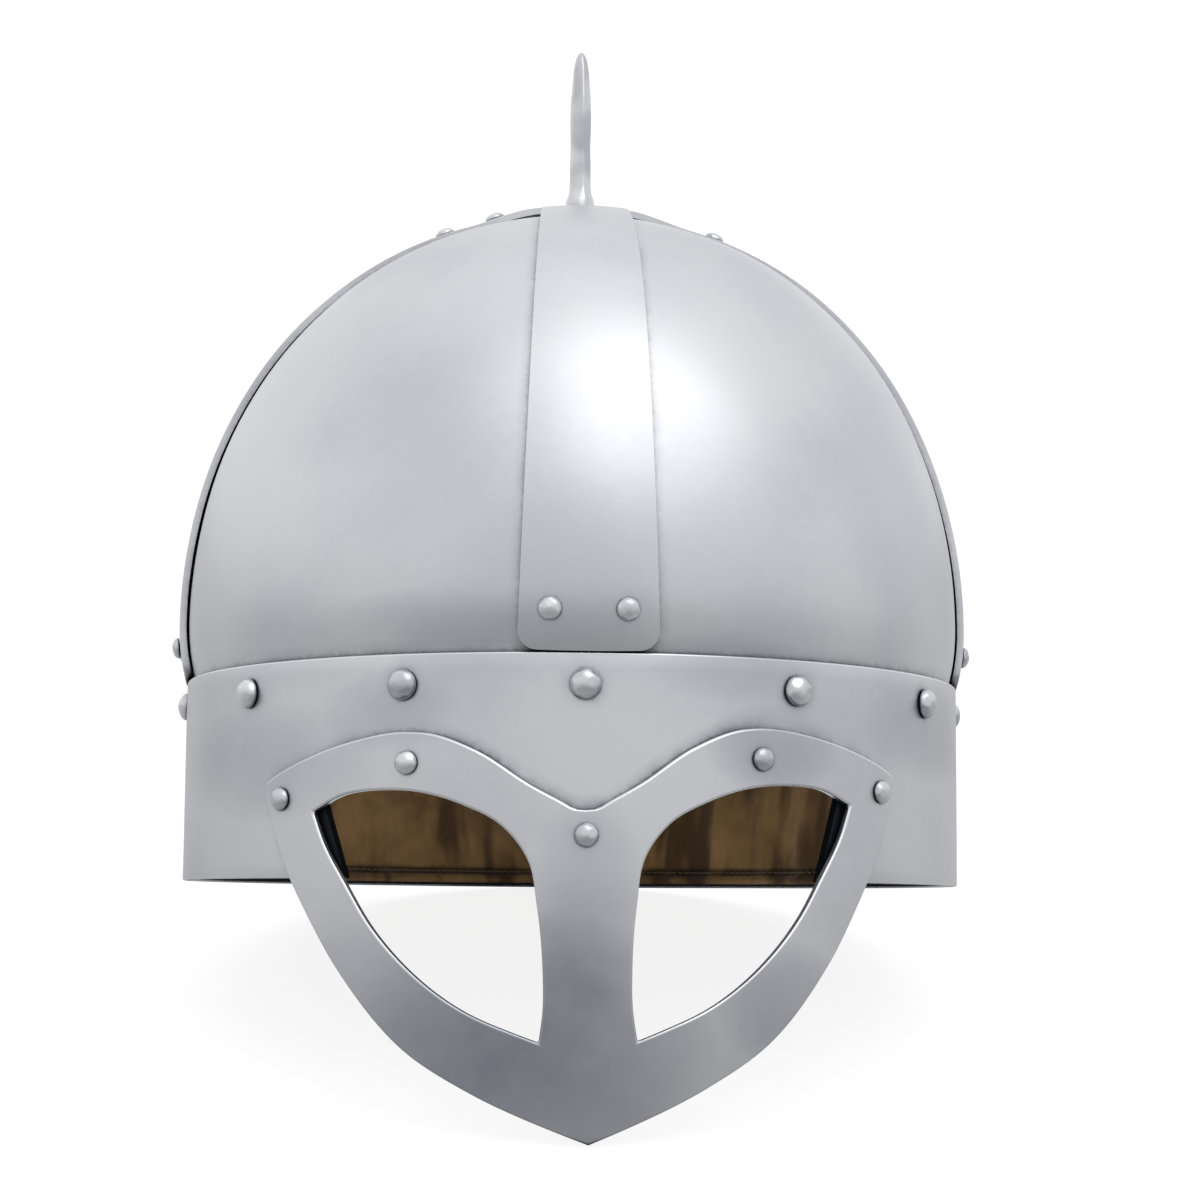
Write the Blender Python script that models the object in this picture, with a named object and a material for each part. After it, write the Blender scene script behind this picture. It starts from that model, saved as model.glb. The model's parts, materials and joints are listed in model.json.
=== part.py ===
"""Spectacle helmet: four skull plates under two crossed straps, riveted into a brow band that carries a
spectacle-shaped face guard, with a spike on the crown and a leather lining inside the band.

The helmet is modelled upright, in millimetres, with the band's lower rim at height 0 and the face towards -Y.
An empty then lays it down as it rests by itself: tilted back on the guard's tip and the back of the rim."""

import math

import bmesh
import bpy
import numpy as np
from mathutils import Matrix, Vector

MM = 0.001

# Brow band, outer half sizes of its oval
BAND_HALF_WIDTH = 104.0
BAND_HALF_LENGTH = 114.0
BAND_HEIGHT = 52.4
BAND_WALL = 2.0

# Skull plates: they widen from inside the band up to the spring line, then close in to the crown
PLATE_WALL = 1.6
PLATE_TUCK = 16.0
SPRING_RISE = 15.6
CROWN_RISE = 113.5
CROWN_LEAN = 1.0
ROUNDNESS_IN_PLAN = 2.148
ROUNDNESS_IN_HEIGHT = 2.049
SEAM_GAP = 1.0
CROWN_HOLE_RADIUS = 10.0

# Straps over the seams
STRAP_WALL = 2.0
STRAP_END_WIDTH = 32.5
STRAP_CROWN_WIDTH = 19.5
STRAP_CORNER_RADIUS = 4.5
CROSSING_RAMP = 20.0
CROSSING_MARGIN = 0.5

# Face guard: lengths along the band's curve, heights from the rim
GUARD_WALL = 2.0
GUARD_HALF_SPAN = 87.0
GUARD_BROW_SETBACK = 17.6
GUARD_DROP = 60.2
GUARD_TUCK = 6.0
GUARD_BEND_START = 4.0
GUARD_CANT_DEG = 1.1
NOTCH_MARGIN = 0.8
NOTCH_CORNER_SHARE = 0.778
NOTCH_FOOT_SHARE = 0.698
NOTCH_LOWEST_EDGE = 2.0
NOTCH_BELOW_RIM = 6.0
NOTCH_CUT_MARGIN = 3.0

# Spike
SPIKE_HEIGHT = 46.8
SPIKE_WIDTH = 5.6
SPIKE_FOOT_WIDTH = 8.2
SPIKE_FOOT_HEIGHT = 0.9
SPIKE_SHANK_RADIUS = 1.8
TANG_SPREAD = 1.9
TANG_HEIGHT = 1.3

# Lining
LEATHER_WALL = 1.6
LINING_TOP_RISE = 3.6
LINING_HEM_GAP = 1.2
LINING_SIDE_HEM = 11.0
LINING_FRONT_HEM = 36.0
LINING_FRONT_DEG = 52.0
LINING_SIDE_DEG = 100.0
LINING_STEP_DEG = 30.0
PLEAT_DEPTH = 1.3
PLEATS_ROUND = 10
PLEATED_DEG = 62.0
PLEAT_FADE_DEG = 20.0

# Rivets
BAND_RIVET_HEAD_RADIUS = 3.7
BAND_RIVET_HEAD_HEIGHT = 3.1
BAND_RIVET_SHANK_RADIUS = 2.0
SMALL_RIVET_HEAD_RADIUS = 2.8
SMALL_RIVET_HEAD_HEIGHT = 2.1
SMALL_RIVET_SHANK_RADIUS = 1.5
TAIL_HEIGHT = 0.9
TAIL_SPREAD = 1.55
STRAP_RIVET_RISE = 9.4
STRAP_RIVET_SPREAD = 17.7
CROWN_RIVETS = (
    # (name, place along the side strap from the crown, place across it towards the back)
    ("left_inner", 23.0, -6.5),
    ("left_outer", 37.0, -6.5),
    ("right_inner", -23.0, 6.5),
    ("right_outer", -37.0, -6.5),
)
HOLE_OUTSIDE = 6.0
HOLE_INSIDE = 5.0

# Clearances
FIT_GAP = 0.3
TAIL_GAP = 0.7
STRAP_SEAT = 0.6
LINING_SEAT = 0.5
STRAP_END_MARGIN = 0.5

# Search lengths along the line from a strap's spine down to the skull beside it
DROP_BELOW = 6.0
DROP_ABOVE = 60.0
SLOPE_STEP = 0.05

# Facets
BAND_FACETS = 72
LINING_FACETS = 60
PLATE_COLUMNS = 10
PLATE_ROWS_ABOVE = 12
ROUND_SIDES = 8
STATION_MARGIN = 3.0
SHEET_SHARP_DEG = 40.0
TURNED_SHARP_DEG = 50.0

# Worked out from the sizes above
SPRING_HEIGHT = BAND_HEIGHT + SPRING_RISE
PLATE_FOOT = BAND_HEIGHT - PLATE_TUCK
STRAP_END_HEIGHT = BAND_HEIGHT + FIT_GAP + STRAP_END_MARGIN
CROSSING_LIFT = STRAP_WALL + FIT_GAP
CROSSING_FLAT = STRAP_CROWN_WIDTH / 2 + FIT_GAP + CROSSING_MARGIN
GUARD_BROW = BAND_HEIGHT - GUARD_BROW_SETBACK
SKULL_DRAW_IN = BAND_WALL + FIT_GAP
LINING_OUTER = -(SKULL_DRAW_IN + PLATE_WALL + LINING_SEAT)
LINING_TOP = BAND_HEIGHT + LINING_TOP_RISE

# The guard's outline, one half of it. Span is a share of the guard's half span, height a share of the brow
# height where it is above the rim and of the drop where it is below.
BROW_LINE = (
    # (span, height), from the notch between the eyes to the outer corner
    (0.000, 0.454),
    (0.022, 0.458),
    (0.070, 0.520),
    (0.138, 0.612),
    (0.297, 0.865),
    (0.430, 0.986),
    (0.517, 1.000),
    (0.649, 0.960),
    (0.818, 0.862),
    (0.965, 0.735),
    (0.990, 0.705),
    (1.000, 0.665),
)
CHEEK_LINE = (
    # (span, height), from the outer corner to the tip
    (1.000, 0.665),
    (0.995, 0.600),
    (0.966, 0.431),
    (0.906, 0.109),
    (0.826, -0.116),
    (0.713, -0.347),
    (0.511, -0.650),
    (0.338, -0.796),
    (0.106, -0.942),
    (0.000, -1.000),
)
EYE_UPPER_LINE = (
    # (span, height), from the lower inner corner up past the nose and over the eye to its outer corner
    (0.134, -0.611),
    (0.122, -0.498),
    (0.120, -0.332),
    (0.133, -0.095),
    (0.156, 0.132),
    (0.230, 0.368),
    (0.331, 0.500),
    (0.448, 0.589),
    (0.575, 0.615),
    (0.690, 0.592),
    (0.799, 0.489),
)
EYE_LOWER_LINE = (
    # (span, height), from the outer corner back to the lower inner corner
    (0.799, 0.489),
    (0.764, 0.293),
    (0.684, -0.005),
    (0.607, -0.164),
    (0.529, -0.287),
    (0.331, -0.497),
    (0.202, -0.575),
    (0.134, -0.611),
)
NOSE_SHARE_OF_EYE_UPPER = 0.44
GUARD_NOSE_STATIONS = 6
GUARD_BROW_STATIONS = 12
GUARD_CHEEK_STATIONS = 14
GUARD_RINGS = 3
NOTCH_STATIONS = 12

BAND_RIVETS = (
    # (name, angle from the front in degrees, drop below the band's top edge)
    ("front", -0.3, 7.4),
    ("front_left_inner", -24.4, 7.4),
    ("front_left_outer", -51.6, 7.2),
    ("side_left", -90.0, 5.4),
    ("back_left_outer", -128.0, 7.2),
    ("back_left_inner", -154.0, 7.4),
    ("back", 180.0, 7.4),
    ("back_right_inner", 154.0, 7.4),
    ("back_right_outer", 128.0, 7.2),
    ("side_right", 90.0, 5.4),
    ("front_right_outer", 56.3, 7.2),
    ("front_right_inner", 28.8, 7.4),
)
GUARD_RIVETS = (
    # (name, span, height), shares as in the guard's outline
    ("left_outer", -0.922, 0.585),
    ("left_brow", -0.490, 0.790),
    ("nose", 0.000, 0.290),
    ("right_brow", 0.496, 0.790),
    ("right_outer", 0.930, 0.585),
)
SPIKE_PROFILE = (
    # (share of the half width, share of the height), from the foot to the tip
    (1.30, 0.093),
    (1.05, 0.142),
    (1.00, 0.202),
    (0.96, 0.413),
    (1.00, 0.625),
    (0.86, 0.776),
    (0.70, 0.897),
    (0.50, 0.955),
    (0.25, 0.990),
)
RIVET_HEAD_PROFILE = (
    # (share of the head's radius, share of its height), from near the top to its edge
    (0.62, 0.80),
    (1.00, 0.12),
    (0.97, 0.00),
)


# Scene and materials


def clear_scene():
    for obj in list(bpy.data.objects):
        bpy.data.objects.remove(obj, do_unlink=True)


def make_material(name, color, metallic, roughness):
    material = bpy.data.materials.new(name)
    material.use_nodes = True
    shader = material.node_tree.nodes["Principled BSDF"]
    shader.inputs["Base Color"].default_value = (*color, 1.0)
    shader.inputs["Metallic"].default_value = metallic
    shader.inputs["Roughness"].default_value = roughness
    return material


# Small mathematics


def smooth_step(value):
    share = min(max(value, 0.0), 1.0)
    return share * share * (3.0 - 2.0 * share)


def curve_through(points, samples=400):
    """A smooth curve through the given points, as many samples."""
    points = np.asarray(points, float)
    steps = np.linalg.norm(np.diff(points, axis=0), axis=1)
    at = np.concatenate([[0.0], np.cumsum(steps)])
    slopes = np.gradient(points, at, axis=0)
    wanted = np.linspace(0.0, at[-1], samples)
    span = np.clip(np.searchsorted(at, wanted, side="right") - 1, 0, len(at) - 2)
    length = (at[span + 1] - at[span])[:, None]
    share = (wanted[:, None] - at[span][:, None]) / length
    start = (1 + 2 * share) * (1 - share) ** 2
    leave = share * (1 - share) ** 2
    end = share**2 * (3 - 2 * share)
    arrive = share**2 * (share - 1)
    return (
        start * points[span]
        + leave * length * slopes[span]
        + end * points[span + 1]
        + arrive * length * slopes[span + 1]
    )


def spaced(curve, shares):
    """Points of a sampled curve at shares of its length."""
    steps = np.linalg.norm(np.diff(curve, axis=0), axis=1)
    at = np.concatenate([[0.0], np.cumsum(steps)])
    at /= at[-1]
    return np.stack([np.interp(shares, at, curve[:, axis]) for axis in range(curve.shape[1])], axis=1)


# Surfaces


def on_oval(angle, offset, height):
    """A point beside the band. The angle runs from the front towards the viewer's right."""
    return np.array(
        [
            (BAND_HALF_WIDTH + offset) * math.sin(angle),
            -(BAND_HALF_LENGTH + offset) * math.cos(angle),
            height,
        ]
    )


def skull_swell(height):
    """How far the plates' outer face stands outside the band's, at or below the spring line."""
    fall = min(max((SPRING_HEIGHT - height) / SPRING_RISE, 0.0), 1.0)
    return -SKULL_DRAW_IN * fall**2


def crown_lean(height):
    """How far the skull stands over towards the viewer's right, growing to the crown."""
    rise = max((height - SPRING_HEIGHT) / CROWN_RISE, 0.0)
    return CROWN_LEAN * rise**2


def skull_level(turn):
    """Plan share and height of the skull at a turn of 0 at the spring line to a quarter circle at the crown."""
    plan = max(math.cos(turn), 0.0) ** (2 / ROUNDNESS_IN_PLAN)
    height = SPRING_HEIGHT + CROWN_RISE * math.sin(turn) ** (2 / ROUNDNESS_IN_HEIGHT)
    return plan, height


def skull_fault(point):
    """Negative inside the plates' outer face, positive outside it."""
    x, y, z = point
    swell = skull_swell(z)
    plan = math.hypot((x - crown_lean(z)) / (BAND_HALF_WIDTH + swell), y / (BAND_HALF_LENGTH + swell))
    rise = max((z - SPRING_HEIGHT) / CROWN_RISE, 0.0)
    return plan**ROUNDNESS_IN_PLAN + rise**ROUNDNESS_IN_HEIGHT - 1.0


def skull_normal(point):
    reach = SLOPE_STEP
    slope = [skull_fault(point + reach * axis) - skull_fault(point - reach * axis) for axis in np.eye(3)]
    return np.array(slope) / np.linalg.norm(slope)


def drop_onto_skull(start, inward):
    """The point where a line from outside meets the plates' outer face."""
    low, high = -DROP_BELOW, DROP_ABOVE
    for _ in range(48):
        middle = (low + high) / 2
        if skull_fault(start + middle * inward) > 0:
            low = middle
        else:
            high = middle
    return start + low * inward


# Building closed sheets from flat patterns


def grid_pattern(rows, columns, ring=False):
    """Faces of a grid of points, counter-clockwise with columns to the right and rows up."""
    faces = []
    for row in range(rows - 1):
        for column in range(columns if ring else columns - 1):
            after = (column + 1) % columns
            faces.append(
                (row * columns + column, row * columns + after, (row + 1) * columns + after, (row + 1) * columns + column)
            )
    return faces


def thicken(outer_points, inner_points, faces):
    """Vertices and faces of the solid between two layers of one pattern."""
    count = len(outer_points)
    used = {edge for face in faces for edge in zip(face, face[1:] + face[:1])}
    solid = list(faces)
    solid += [tuple(corner + count for corner in reversed(face)) for face in faces]
    solid += [(b, a, a + count, b + count) for a, b in used if (b, a) not in used]
    return list(outer_points) + list(inner_points), solid


def add_object(name, vertices, faces, material, sharp_deg=SHEET_SHARP_DEG):
    mesh = bpy.data.meshes.new(name)
    mesh.from_pydata([Vector(point) * MM for point in vertices], [], faces)
    mesh.materials.append(material)
    mesh.validate()
    mesh.shade_smooth()
    mesh.set_sharp_from_angle(angle=math.radians(sharp_deg))
    obj = bpy.data.objects.new(name, mesh)
    bpy.context.scene.collection.objects.link(obj)
    return obj


def cut_with(obj, cutter):
    boolean = obj.modifiers.new("cut_" + cutter.name, "BOOLEAN")
    boolean.operation = "DIFFERENCE"
    boolean.solver = "EXACT"
    boolean.object = cutter


def as_cutter(obj):
    obj.hide_render = True
    obj.display_type = "WIRE"
    return obj


# Brow band and lining


def ring_angles(facets):
    """Angles of a ring's corners, with one whole facet centred on the back and one on the front."""
    return [(step + 0.5) * 2 * math.pi / facets for step in range(facets)]


def make_brow_band(steel):
    angles = ring_angles(BAND_FACETS)
    heights = (0.0, BAND_HEIGHT / 2, BAND_HEIGHT)
    outer = [on_oval(angle, 0.0, height) for height in heights for angle in angles]
    inner = [on_oval(angle, -BAND_WALL, height) for height in heights for angle in angles]
    faces = grid_pattern(len(heights), BAND_FACETS, ring=True)
    return add_object("brow_band", *thicken(outer, inner, faces), steel)


def lining_hem(angle):
    """Height of the lining's lower edge: low at the back, higher at the sides, above the eyes in front."""
    from_front = math.degrees(abs(math.remainder(angle, 2 * math.pi)))
    front_to_side = smooth_step((from_front - LINING_FRONT_DEG) / LINING_STEP_DEG)
    side_to_back = smooth_step((from_front - LINING_SIDE_DEG) / LINING_STEP_DEG)
    hem = LINING_FRONT_HEM + (LINING_SIDE_HEM - LINING_FRONT_HEM) * front_to_side
    return hem + (LINING_HEM_GAP - LINING_SIDE_HEM) * side_to_back


def pleat(angle):
    """How far the leather gathers inwards at the back."""
    from_back = math.remainder(angle - math.pi, 2 * math.pi)
    spread = smooth_step((PLEATED_DEG - math.degrees(abs(from_back))) / PLEAT_FADE_DEG)
    return PLEAT_DEPTH * spread * (1 - math.cos(PLEATS_ROUND * from_back)) / 2


def make_lining(leather):
    angles = ring_angles(LINING_FACETS)
    shares = (0.0, 0.3, 0.65, 1.0)
    outer, inner = [], []
    for share in shares:
        for angle in angles:
            hem = lining_hem(angle)
            height = hem + (LINING_TOP - hem) * share
            gather = pleat(angle) * (1 - share)
            outer.append(on_oval(angle, LINING_OUTER - gather, height))
            inner.append(on_oval(angle, LINING_OUTER - LEATHER_WALL - gather, height))
    faces = grid_pattern(len(shares), LINING_FACETS, ring=True)
    return add_object("lining", *thicken(outer, inner, faces), leather)


# Skull plates and straps


def plate_levels():
    """(plan share, swell, height) of each row, from the plate's foot inside the band up to the crown."""
    levels = [(1.0, skull_swell(height), height) for height in (PLATE_FOOT, BAND_HEIGHT)]
    levels.append((1.0, skull_swell(BAND_HEIGHT + SPRING_RISE / 2), BAND_HEIGHT + SPRING_RISE / 2))
    last = math.acos((CROWN_HOLE_RADIUS / BAND_HALF_WIDTH) ** (ROUNDNESS_IN_PLAN / 2))
    for step in range(PLATE_ROWS_ABOVE):
        plan, height = skull_level(last * step / (PLATE_ROWS_ABOVE - 1))
        levels.append((plan, 0.0, height))
    return levels


def make_plate(name, quarter, steel):
    """One of the four plates: quarter 0 runs from the front to the viewer's right, and so on round."""
    outer, inner = [], []
    levels = plate_levels()
    for plan, swell, height in levels:
        width = plan * (BAND_HALF_WIDTH + swell)
        margin = math.asin(SEAM_GAP / 2 / width)
        for column in range(PLATE_COLUMNS + 1):
            share = column / PLATE_COLUMNS
            angle = quarter * math.pi / 2 + margin + (math.pi / 2 - 2 * margin) * share
            ahead = -plan * (BAND_HALF_LENGTH + swell) * math.cos(angle)
            point = np.array([width * math.sin(angle) + crown_lean(height), ahead, height])
            outer.append(point)
            inner.append(point - PLATE_WALL * skull_normal(point))
    faces = grid_pattern(len(levels), PLATE_COLUMNS + 1)
    return add_object(name, *thicken(outer, inner, faces), steel)


class StrapCourse:
    """The line that a strap follows over the skull, from one end over the crown to the other."""

    def __init__(self, ahead, across, half_length):
        self.ahead = np.array(ahead, float)
        self.across = np.array(across, float)
        low = [
            (half_length + skull_swell(height), height)
            for height in np.linspace(STRAP_END_HEIGHT, SPRING_HEIGHT, 20, endpoint=False)
        ]
        high = [skull_level(turn) for turn in np.linspace(0.0, math.pi / 2, 400)]
        high = [(plan * half_length, height) for plan, height in high]
        side = np.array(low + high)
        steps = np.linalg.norm(np.diff(side, axis=0), axis=1)
        self.at = np.concatenate([[0.0], np.cumsum(steps)])
        self.side = side
        self.half = self.at[-1]

    def spine(self, along):
        """Point on the skull at a distance from the crown, negative towards the first end."""
        from_end = self.half - abs(along)
        reach = np.interp(from_end, self.at, self.side[:, 0])
        height = np.interp(from_end, self.at, self.side[:, 1])
        sign = -1.0 if along > 0 else 1.0
        return sign * reach * self.ahead + np.array([crown_lean(height), 0.0, height])

    def on_skull(self, along, sideways):
        """The skull's point beside the spine, and its outward normal."""
        centre = self.spine(along)
        inward = -skull_normal(centre)
        point = drop_onto_skull(centre + sideways * self.across, inward)
        return point, skull_normal(point)

    def lay(self, along, sideways, depth):
        point, normal = self.on_skull(along, sideways)
        return point + depth * normal


def crossing_lift(along):
    """The side strap rides over the crest strap at the crown."""
    return CROSSING_LIFT * smooth_step((CROSSING_FLAT + CROSSING_RAMP - abs(along)) / CROSSING_RAMP)


def strap_half_width(course, along):
    from_end = course.half - abs(along)
    half = (STRAP_END_WIDTH + (STRAP_CROWN_WIDTH - STRAP_END_WIDTH) * from_end / course.half) / 2
    if from_end < STRAP_CORNER_RADIUS:
        rest = STRAP_CORNER_RADIUS - from_end
        half -= STRAP_CORNER_RADIUS - math.sqrt(STRAP_CORNER_RADIUS**2 - rest**2)
    return half


def strap_stations(course, crossing):
    """Distances from the crown, closer together at the rounded corners and at the crossing."""
    corner = [STRAP_CORNER_RADIUS * (1 - math.cos(math.radians(turn))) for turn in (0, 30, 60, 90)]
    ends = [course.half - distance for distance in corner]
    middle = list(np.linspace(ends[-1], 0.0, 15)[1:])
    if crossing:
        ramp = [CROSSING_FLAT + CROSSING_RAMP * share for share in (1.0, 0.66, 0.33, 0.0)]
        middle = [value for value in middle if value > ramp[0] + STATION_MARGIN] + ramp + [0.0]
    right = ends + middle
    return [-value for value in right] + right[-2::-1]


def make_strap(name, course, crossing, steel):
    shares = (-1.0, -0.5, 0.0, 0.5, 1.0)
    stations = strap_stations(course, crossing)
    outer, inner = [], []
    for along in stations:
        lift = crossing_lift(along) if crossing else 0.0
        half = strap_half_width(course, along)
        for share in shares:
            point, normal = course.on_skull(along, half * share)
            inner.append(point + (STRAP_SEAT + lift) * normal)
            outer.append(point + (STRAP_SEAT + lift + STRAP_WALL) * normal)
    faces = grid_pattern(len(stations), len(shares))
    return add_object(name, *thicken(outer, inner, faces), steel)


# Face guard


def arc_table():
    """Length along the guard's outer face from the front, for angles up to the sides."""
    angles = np.linspace(0.0, math.pi / 2, 500)
    reach = FIT_GAP + GUARD_WALL
    speed = np.hypot(
        (BAND_HALF_WIDTH + reach) * np.cos(angles), (BAND_HALF_LENGTH + reach) * np.sin(angles)
    )
    lengths = np.concatenate([[0.0], np.cumsum((speed[1:] + speed[:-1]) / 2 * np.diff(angles))])
    return angles, lengths


ARC_ANGLES, ARC_LENGTHS = arc_table()


def guard_size(shares):
    """A row of the outline tables as lengths: arc from the front and height from the rim."""
    span, height = shares
    return span * GUARD_HALF_SPAN, height * (GUARD_BROW if height > 0 else GUARD_DROP)


def canted(arc, height):
    """The guard is riveted on a little askew."""
    turn = math.radians(GUARD_CANT_DEG)
    return (
        arc * math.cos(turn) - height * math.sin(turn),
        arc * math.sin(turn) + height * math.cos(turn),
    )


def beside_band(arc, height, offset):
    """A point at an arc length from the front, at an offset outside the band's outer face."""
    angle = math.copysign(np.interp(abs(arc), ARC_LENGTHS, ARC_ANGLES), arc)
    return on_oval(angle, offset, height)


def guard_offset(height, depth):
    """Depth 0 is the guard's inner face. Below the rim the guard bends in towards the face."""
    bend = max((GUARD_BEND_START - height) / (GUARD_BEND_START + GUARD_DROP), 0.0)
    return FIT_GAP + depth - GUARD_TUCK * bend**2


def lay_guard(arc, height, depth):
    arc, height = canted(arc, height)
    return beside_band(arc, height, guard_offset(height, depth))


def guard_loops():
    """Matching outline and eye points of one half, round from the tip by way of the notch and the corner."""
    brow = curve_through([guard_size(row) for row in BROW_LINE])
    cheek = curve_through([guard_size(row) for row in CHEEK_LINE])
    eye_upper = curve_through([guard_size(row) for row in EYE_UPPER_LINE])
    eye_lower = curve_through([guard_size(row) for row in EYE_LOWER_LINE])
    nose = np.array([cheek[-1], brow[0]])

    nose_shares = np.linspace(0, 1, GUARD_NOSE_STATIONS, endpoint=False)
    brow_shares = np.linspace(0, 1, GUARD_BROW_STATIONS, endpoint=False)
    cheek_shares = np.linspace(0, 1, GUARD_CHEEK_STATIONS, endpoint=False)
    outline = np.concatenate([spaced(nose, nose_shares), spaced(brow, brow_shares), spaced(cheek, cheek_shares)])
    eye = np.concatenate(
        [
            spaced(eye_upper, NOSE_SHARE_OF_EYE_UPPER * nose_shares),
            spaced(eye_upper, NOSE_SHARE_OF_EYE_UPPER + (1 - NOSE_SHARE_OF_EYE_UPPER) * brow_shares),
            spaced(eye_lower, cheek_shares),
        ]
    )
    return outline, eye


def guard_pattern():
    """Flat points and faces of the whole guard. The halves share the points on the centre line."""
    outline, eye = guard_loops()
    count = len(outline)
    points, faces, index = [], [], {}

    def number(point):
        key = (round(point[0], 4), round(point[1], 4))
        if key not in index:
            index[key] = len(points)
            points.append(point)
        return index[key]

    for side in (1, -1):
        rings = []
        for ring in range(GUARD_RINGS + 1):
            share = ring / GUARD_RINGS
            loop = outline + (eye - outline) * share
            rings.append([number((side * arc, height)) for arc, height in loop])
        for near, far in zip(rings, rings[1:]):
            for here in range(count):
                there = (here + 1) % count
                face = (near[here], far[here], far[there], near[there])
                faces.append(face if side < 0 else face[::-1])
    return points, faces


def make_guard(steel):
    points, faces = guard_pattern()
    outer = [lay_guard(*point, GUARD_WALL) for point in points]
    inner = [lay_guard(*point, 0.0) for point in points]
    return add_object("face_guard", *thicken(outer, inner, faces), steel)


def make_notch_cutter(side, steel):
    """Cuts the band away behind one eye opening, open at the rim."""
    eye = curve_through([guard_size(row) for row in EYE_UPPER_LINE])
    slope = np.gradient(eye, axis=0)
    outward = np.stack([-slope[:, 1], slope[:, 0]], axis=1)
    outward /= np.linalg.norm(outward, axis=1)[:, None]
    raised = eye + NOTCH_MARGIN * outward
    corner = NOTCH_CORNER_SHARE * GUARD_HALF_SPAN
    foot = NOTCH_FOOT_SHARE * GUARD_HALF_SPAN
    over = raised[(raised[:, 1] > NOTCH_LOWEST_EDGE) & (raised[:, 0] < corner)]
    over = spaced(over, np.linspace(0, 1, NOTCH_STATIONS))
    slant = (corner - foot) / over[-1][1]
    sill = np.linspace(over[0][0], foot - slant * NOTCH_BELOW_RIM, len(over))
    points = [(side * arc, -NOTCH_BELOW_RIM) for arc in sill] + [(side * arc, height) for arc, height in over]
    faces = grid_pattern(2, len(over))
    if side < 0:
        faces = [face[::-1] for face in faces]
    outer = [beside_band(*canted(*point), NOTCH_CUT_MARGIN) for point in points]
    inner = [beside_band(*canted(*point), -BAND_WALL - NOTCH_CUT_MARGIN) for point in points]
    name = "eye_notch_" + ("right" if side > 0 else "left")
    return as_cutter(add_object(name, *thicken(outer, inner, faces), steel))


# Turned pieces: rivets and the spike


def turned(profile, sides=ROUND_SIDES):
    """A closed solid turned about Z from (radius, height) rows, top to bottom. A radius of 0 is a point."""
    vertices, rings = [], []
    for radius, height in profile:
        if radius == 0:
            rings.append([len(vertices)])
            vertices.append((0.0, 0.0, height))
            continue
        rings.append(list(range(len(vertices), len(vertices) + sides)))
        for step in range(sides):
            turn = 2 * math.pi * step / sides
            vertices.append((radius * math.cos(turn), radius * math.sin(turn), height))
    faces = []
    for upper, lower in zip(rings, rings[1:]):
        for step in range(sides):
            after = (step + 1) % sides
            if len(upper) == 1:
                faces.append((upper[0], lower[step], lower[after]))
            elif len(lower) == 1:
                faces.append((upper[after], upper[step], lower[0]))
            else:
                faces.append((upper[after], upper[step], lower[step], lower[after]))
    return vertices, faces


def stand_on(point, normal):
    """Placement with its Z along the normal and its X level, in metres."""
    up = Vector(normal).normalized()
    level = Vector((0.0, 0.0, 1.0)).cross(up)
    level = level.normalized() if level.length > 0.05 else Vector((1.0, 0.0, 0.0))
    turn = Matrix((level, up.cross(level), up)).transposed().to_4x4()
    return Matrix.Translation(Vector(point) * MM) @ turn


def make_rivet(name, point, normal, size, grip, steel):
    """A domed head on the outside, a shank through the pieces, and a peened tail inside."""
    head_radius, head_height, shank_radius = size
    tail = -grip - TAIL_GAP
    rows = [(0.0, FIT_GAP + head_height)]
    rows += [(head_radius * share, FIT_GAP + head_height * rise) for share, rise in RIVET_HEAD_PROFILE]
    rows += [
        (shank_radius, FIT_GAP),
        (shank_radius, tail),
        (shank_radius * TAIL_SPREAD, tail),
        (0.0, tail - TAIL_HEIGHT),
    ]
    rivet = add_object(name, *turned(rows), steel, TURNED_SHARP_DEG)
    rivet.matrix_world = stand_on(point, normal)
    return rivet


def make_spike(crown, steel):
    """Forged spike with a tang through both straps, spread inside the crown."""
    tang_foot = -(2 * STRAP_WALL + 2 * FIT_GAP + STRAP_SEAT)
    rows = [(0.0, SPIKE_HEIGHT)]
    rows += [(share * SPIKE_WIDTH / 2, rise * SPIKE_HEIGHT) for share, rise in reversed(SPIKE_PROFILE)]
    rows += [
        (SPIKE_FOOT_WIDTH / 2, SPIKE_FOOT_HEIGHT),
        (SPIKE_FOOT_WIDTH / 2, FIT_GAP),
        (SPIKE_SHANK_RADIUS, FIT_GAP),
        (SPIKE_SHANK_RADIUS, tang_foot),
        (SPIKE_SHANK_RADIUS * TANG_SPREAD, tang_foot),
        (0.0, tang_foot - TANG_HEIGHT),
    ]
    spike = add_object("spike", *turned(rows), steel, TURNED_SHARP_DEG)
    spike.matrix_world = stand_on(crown, (0.0, 0.0, 1.0))
    return spike


# Where the rivets go


def band_normal(angle):
    return np.array([BAND_HALF_LENGTH * math.sin(angle), -BAND_HALF_WIDTH * math.cos(angle), 0.0])


def on_strap(course, along, sideways):
    """A point on a strap's outer face, the face's normal there, and the rivet's grip down to the plate."""
    step = 10 * SLOPE_STEP
    before, here, after = [
        course.lay(at, sideways, STRAP_SEAT + STRAP_WALL + crossing_lift(at))
        for at in (along - step, along, along + step)
    ]
    flat_normal = course.on_skull(along, sideways)[1]
    across = np.cross(flat_normal, after - before)
    normal = np.cross(after - before, across)
    normal /= np.linalg.norm(normal)
    lean = np.linalg.norm(np.cross(normal, flat_normal)) * SMALL_RIVET_SHANK_RADIUS * TAIL_SPREAD
    return here, normal, STRAP_SEAT + STRAP_WALL + PLATE_WALL + crossing_lift(along) + lean


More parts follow.
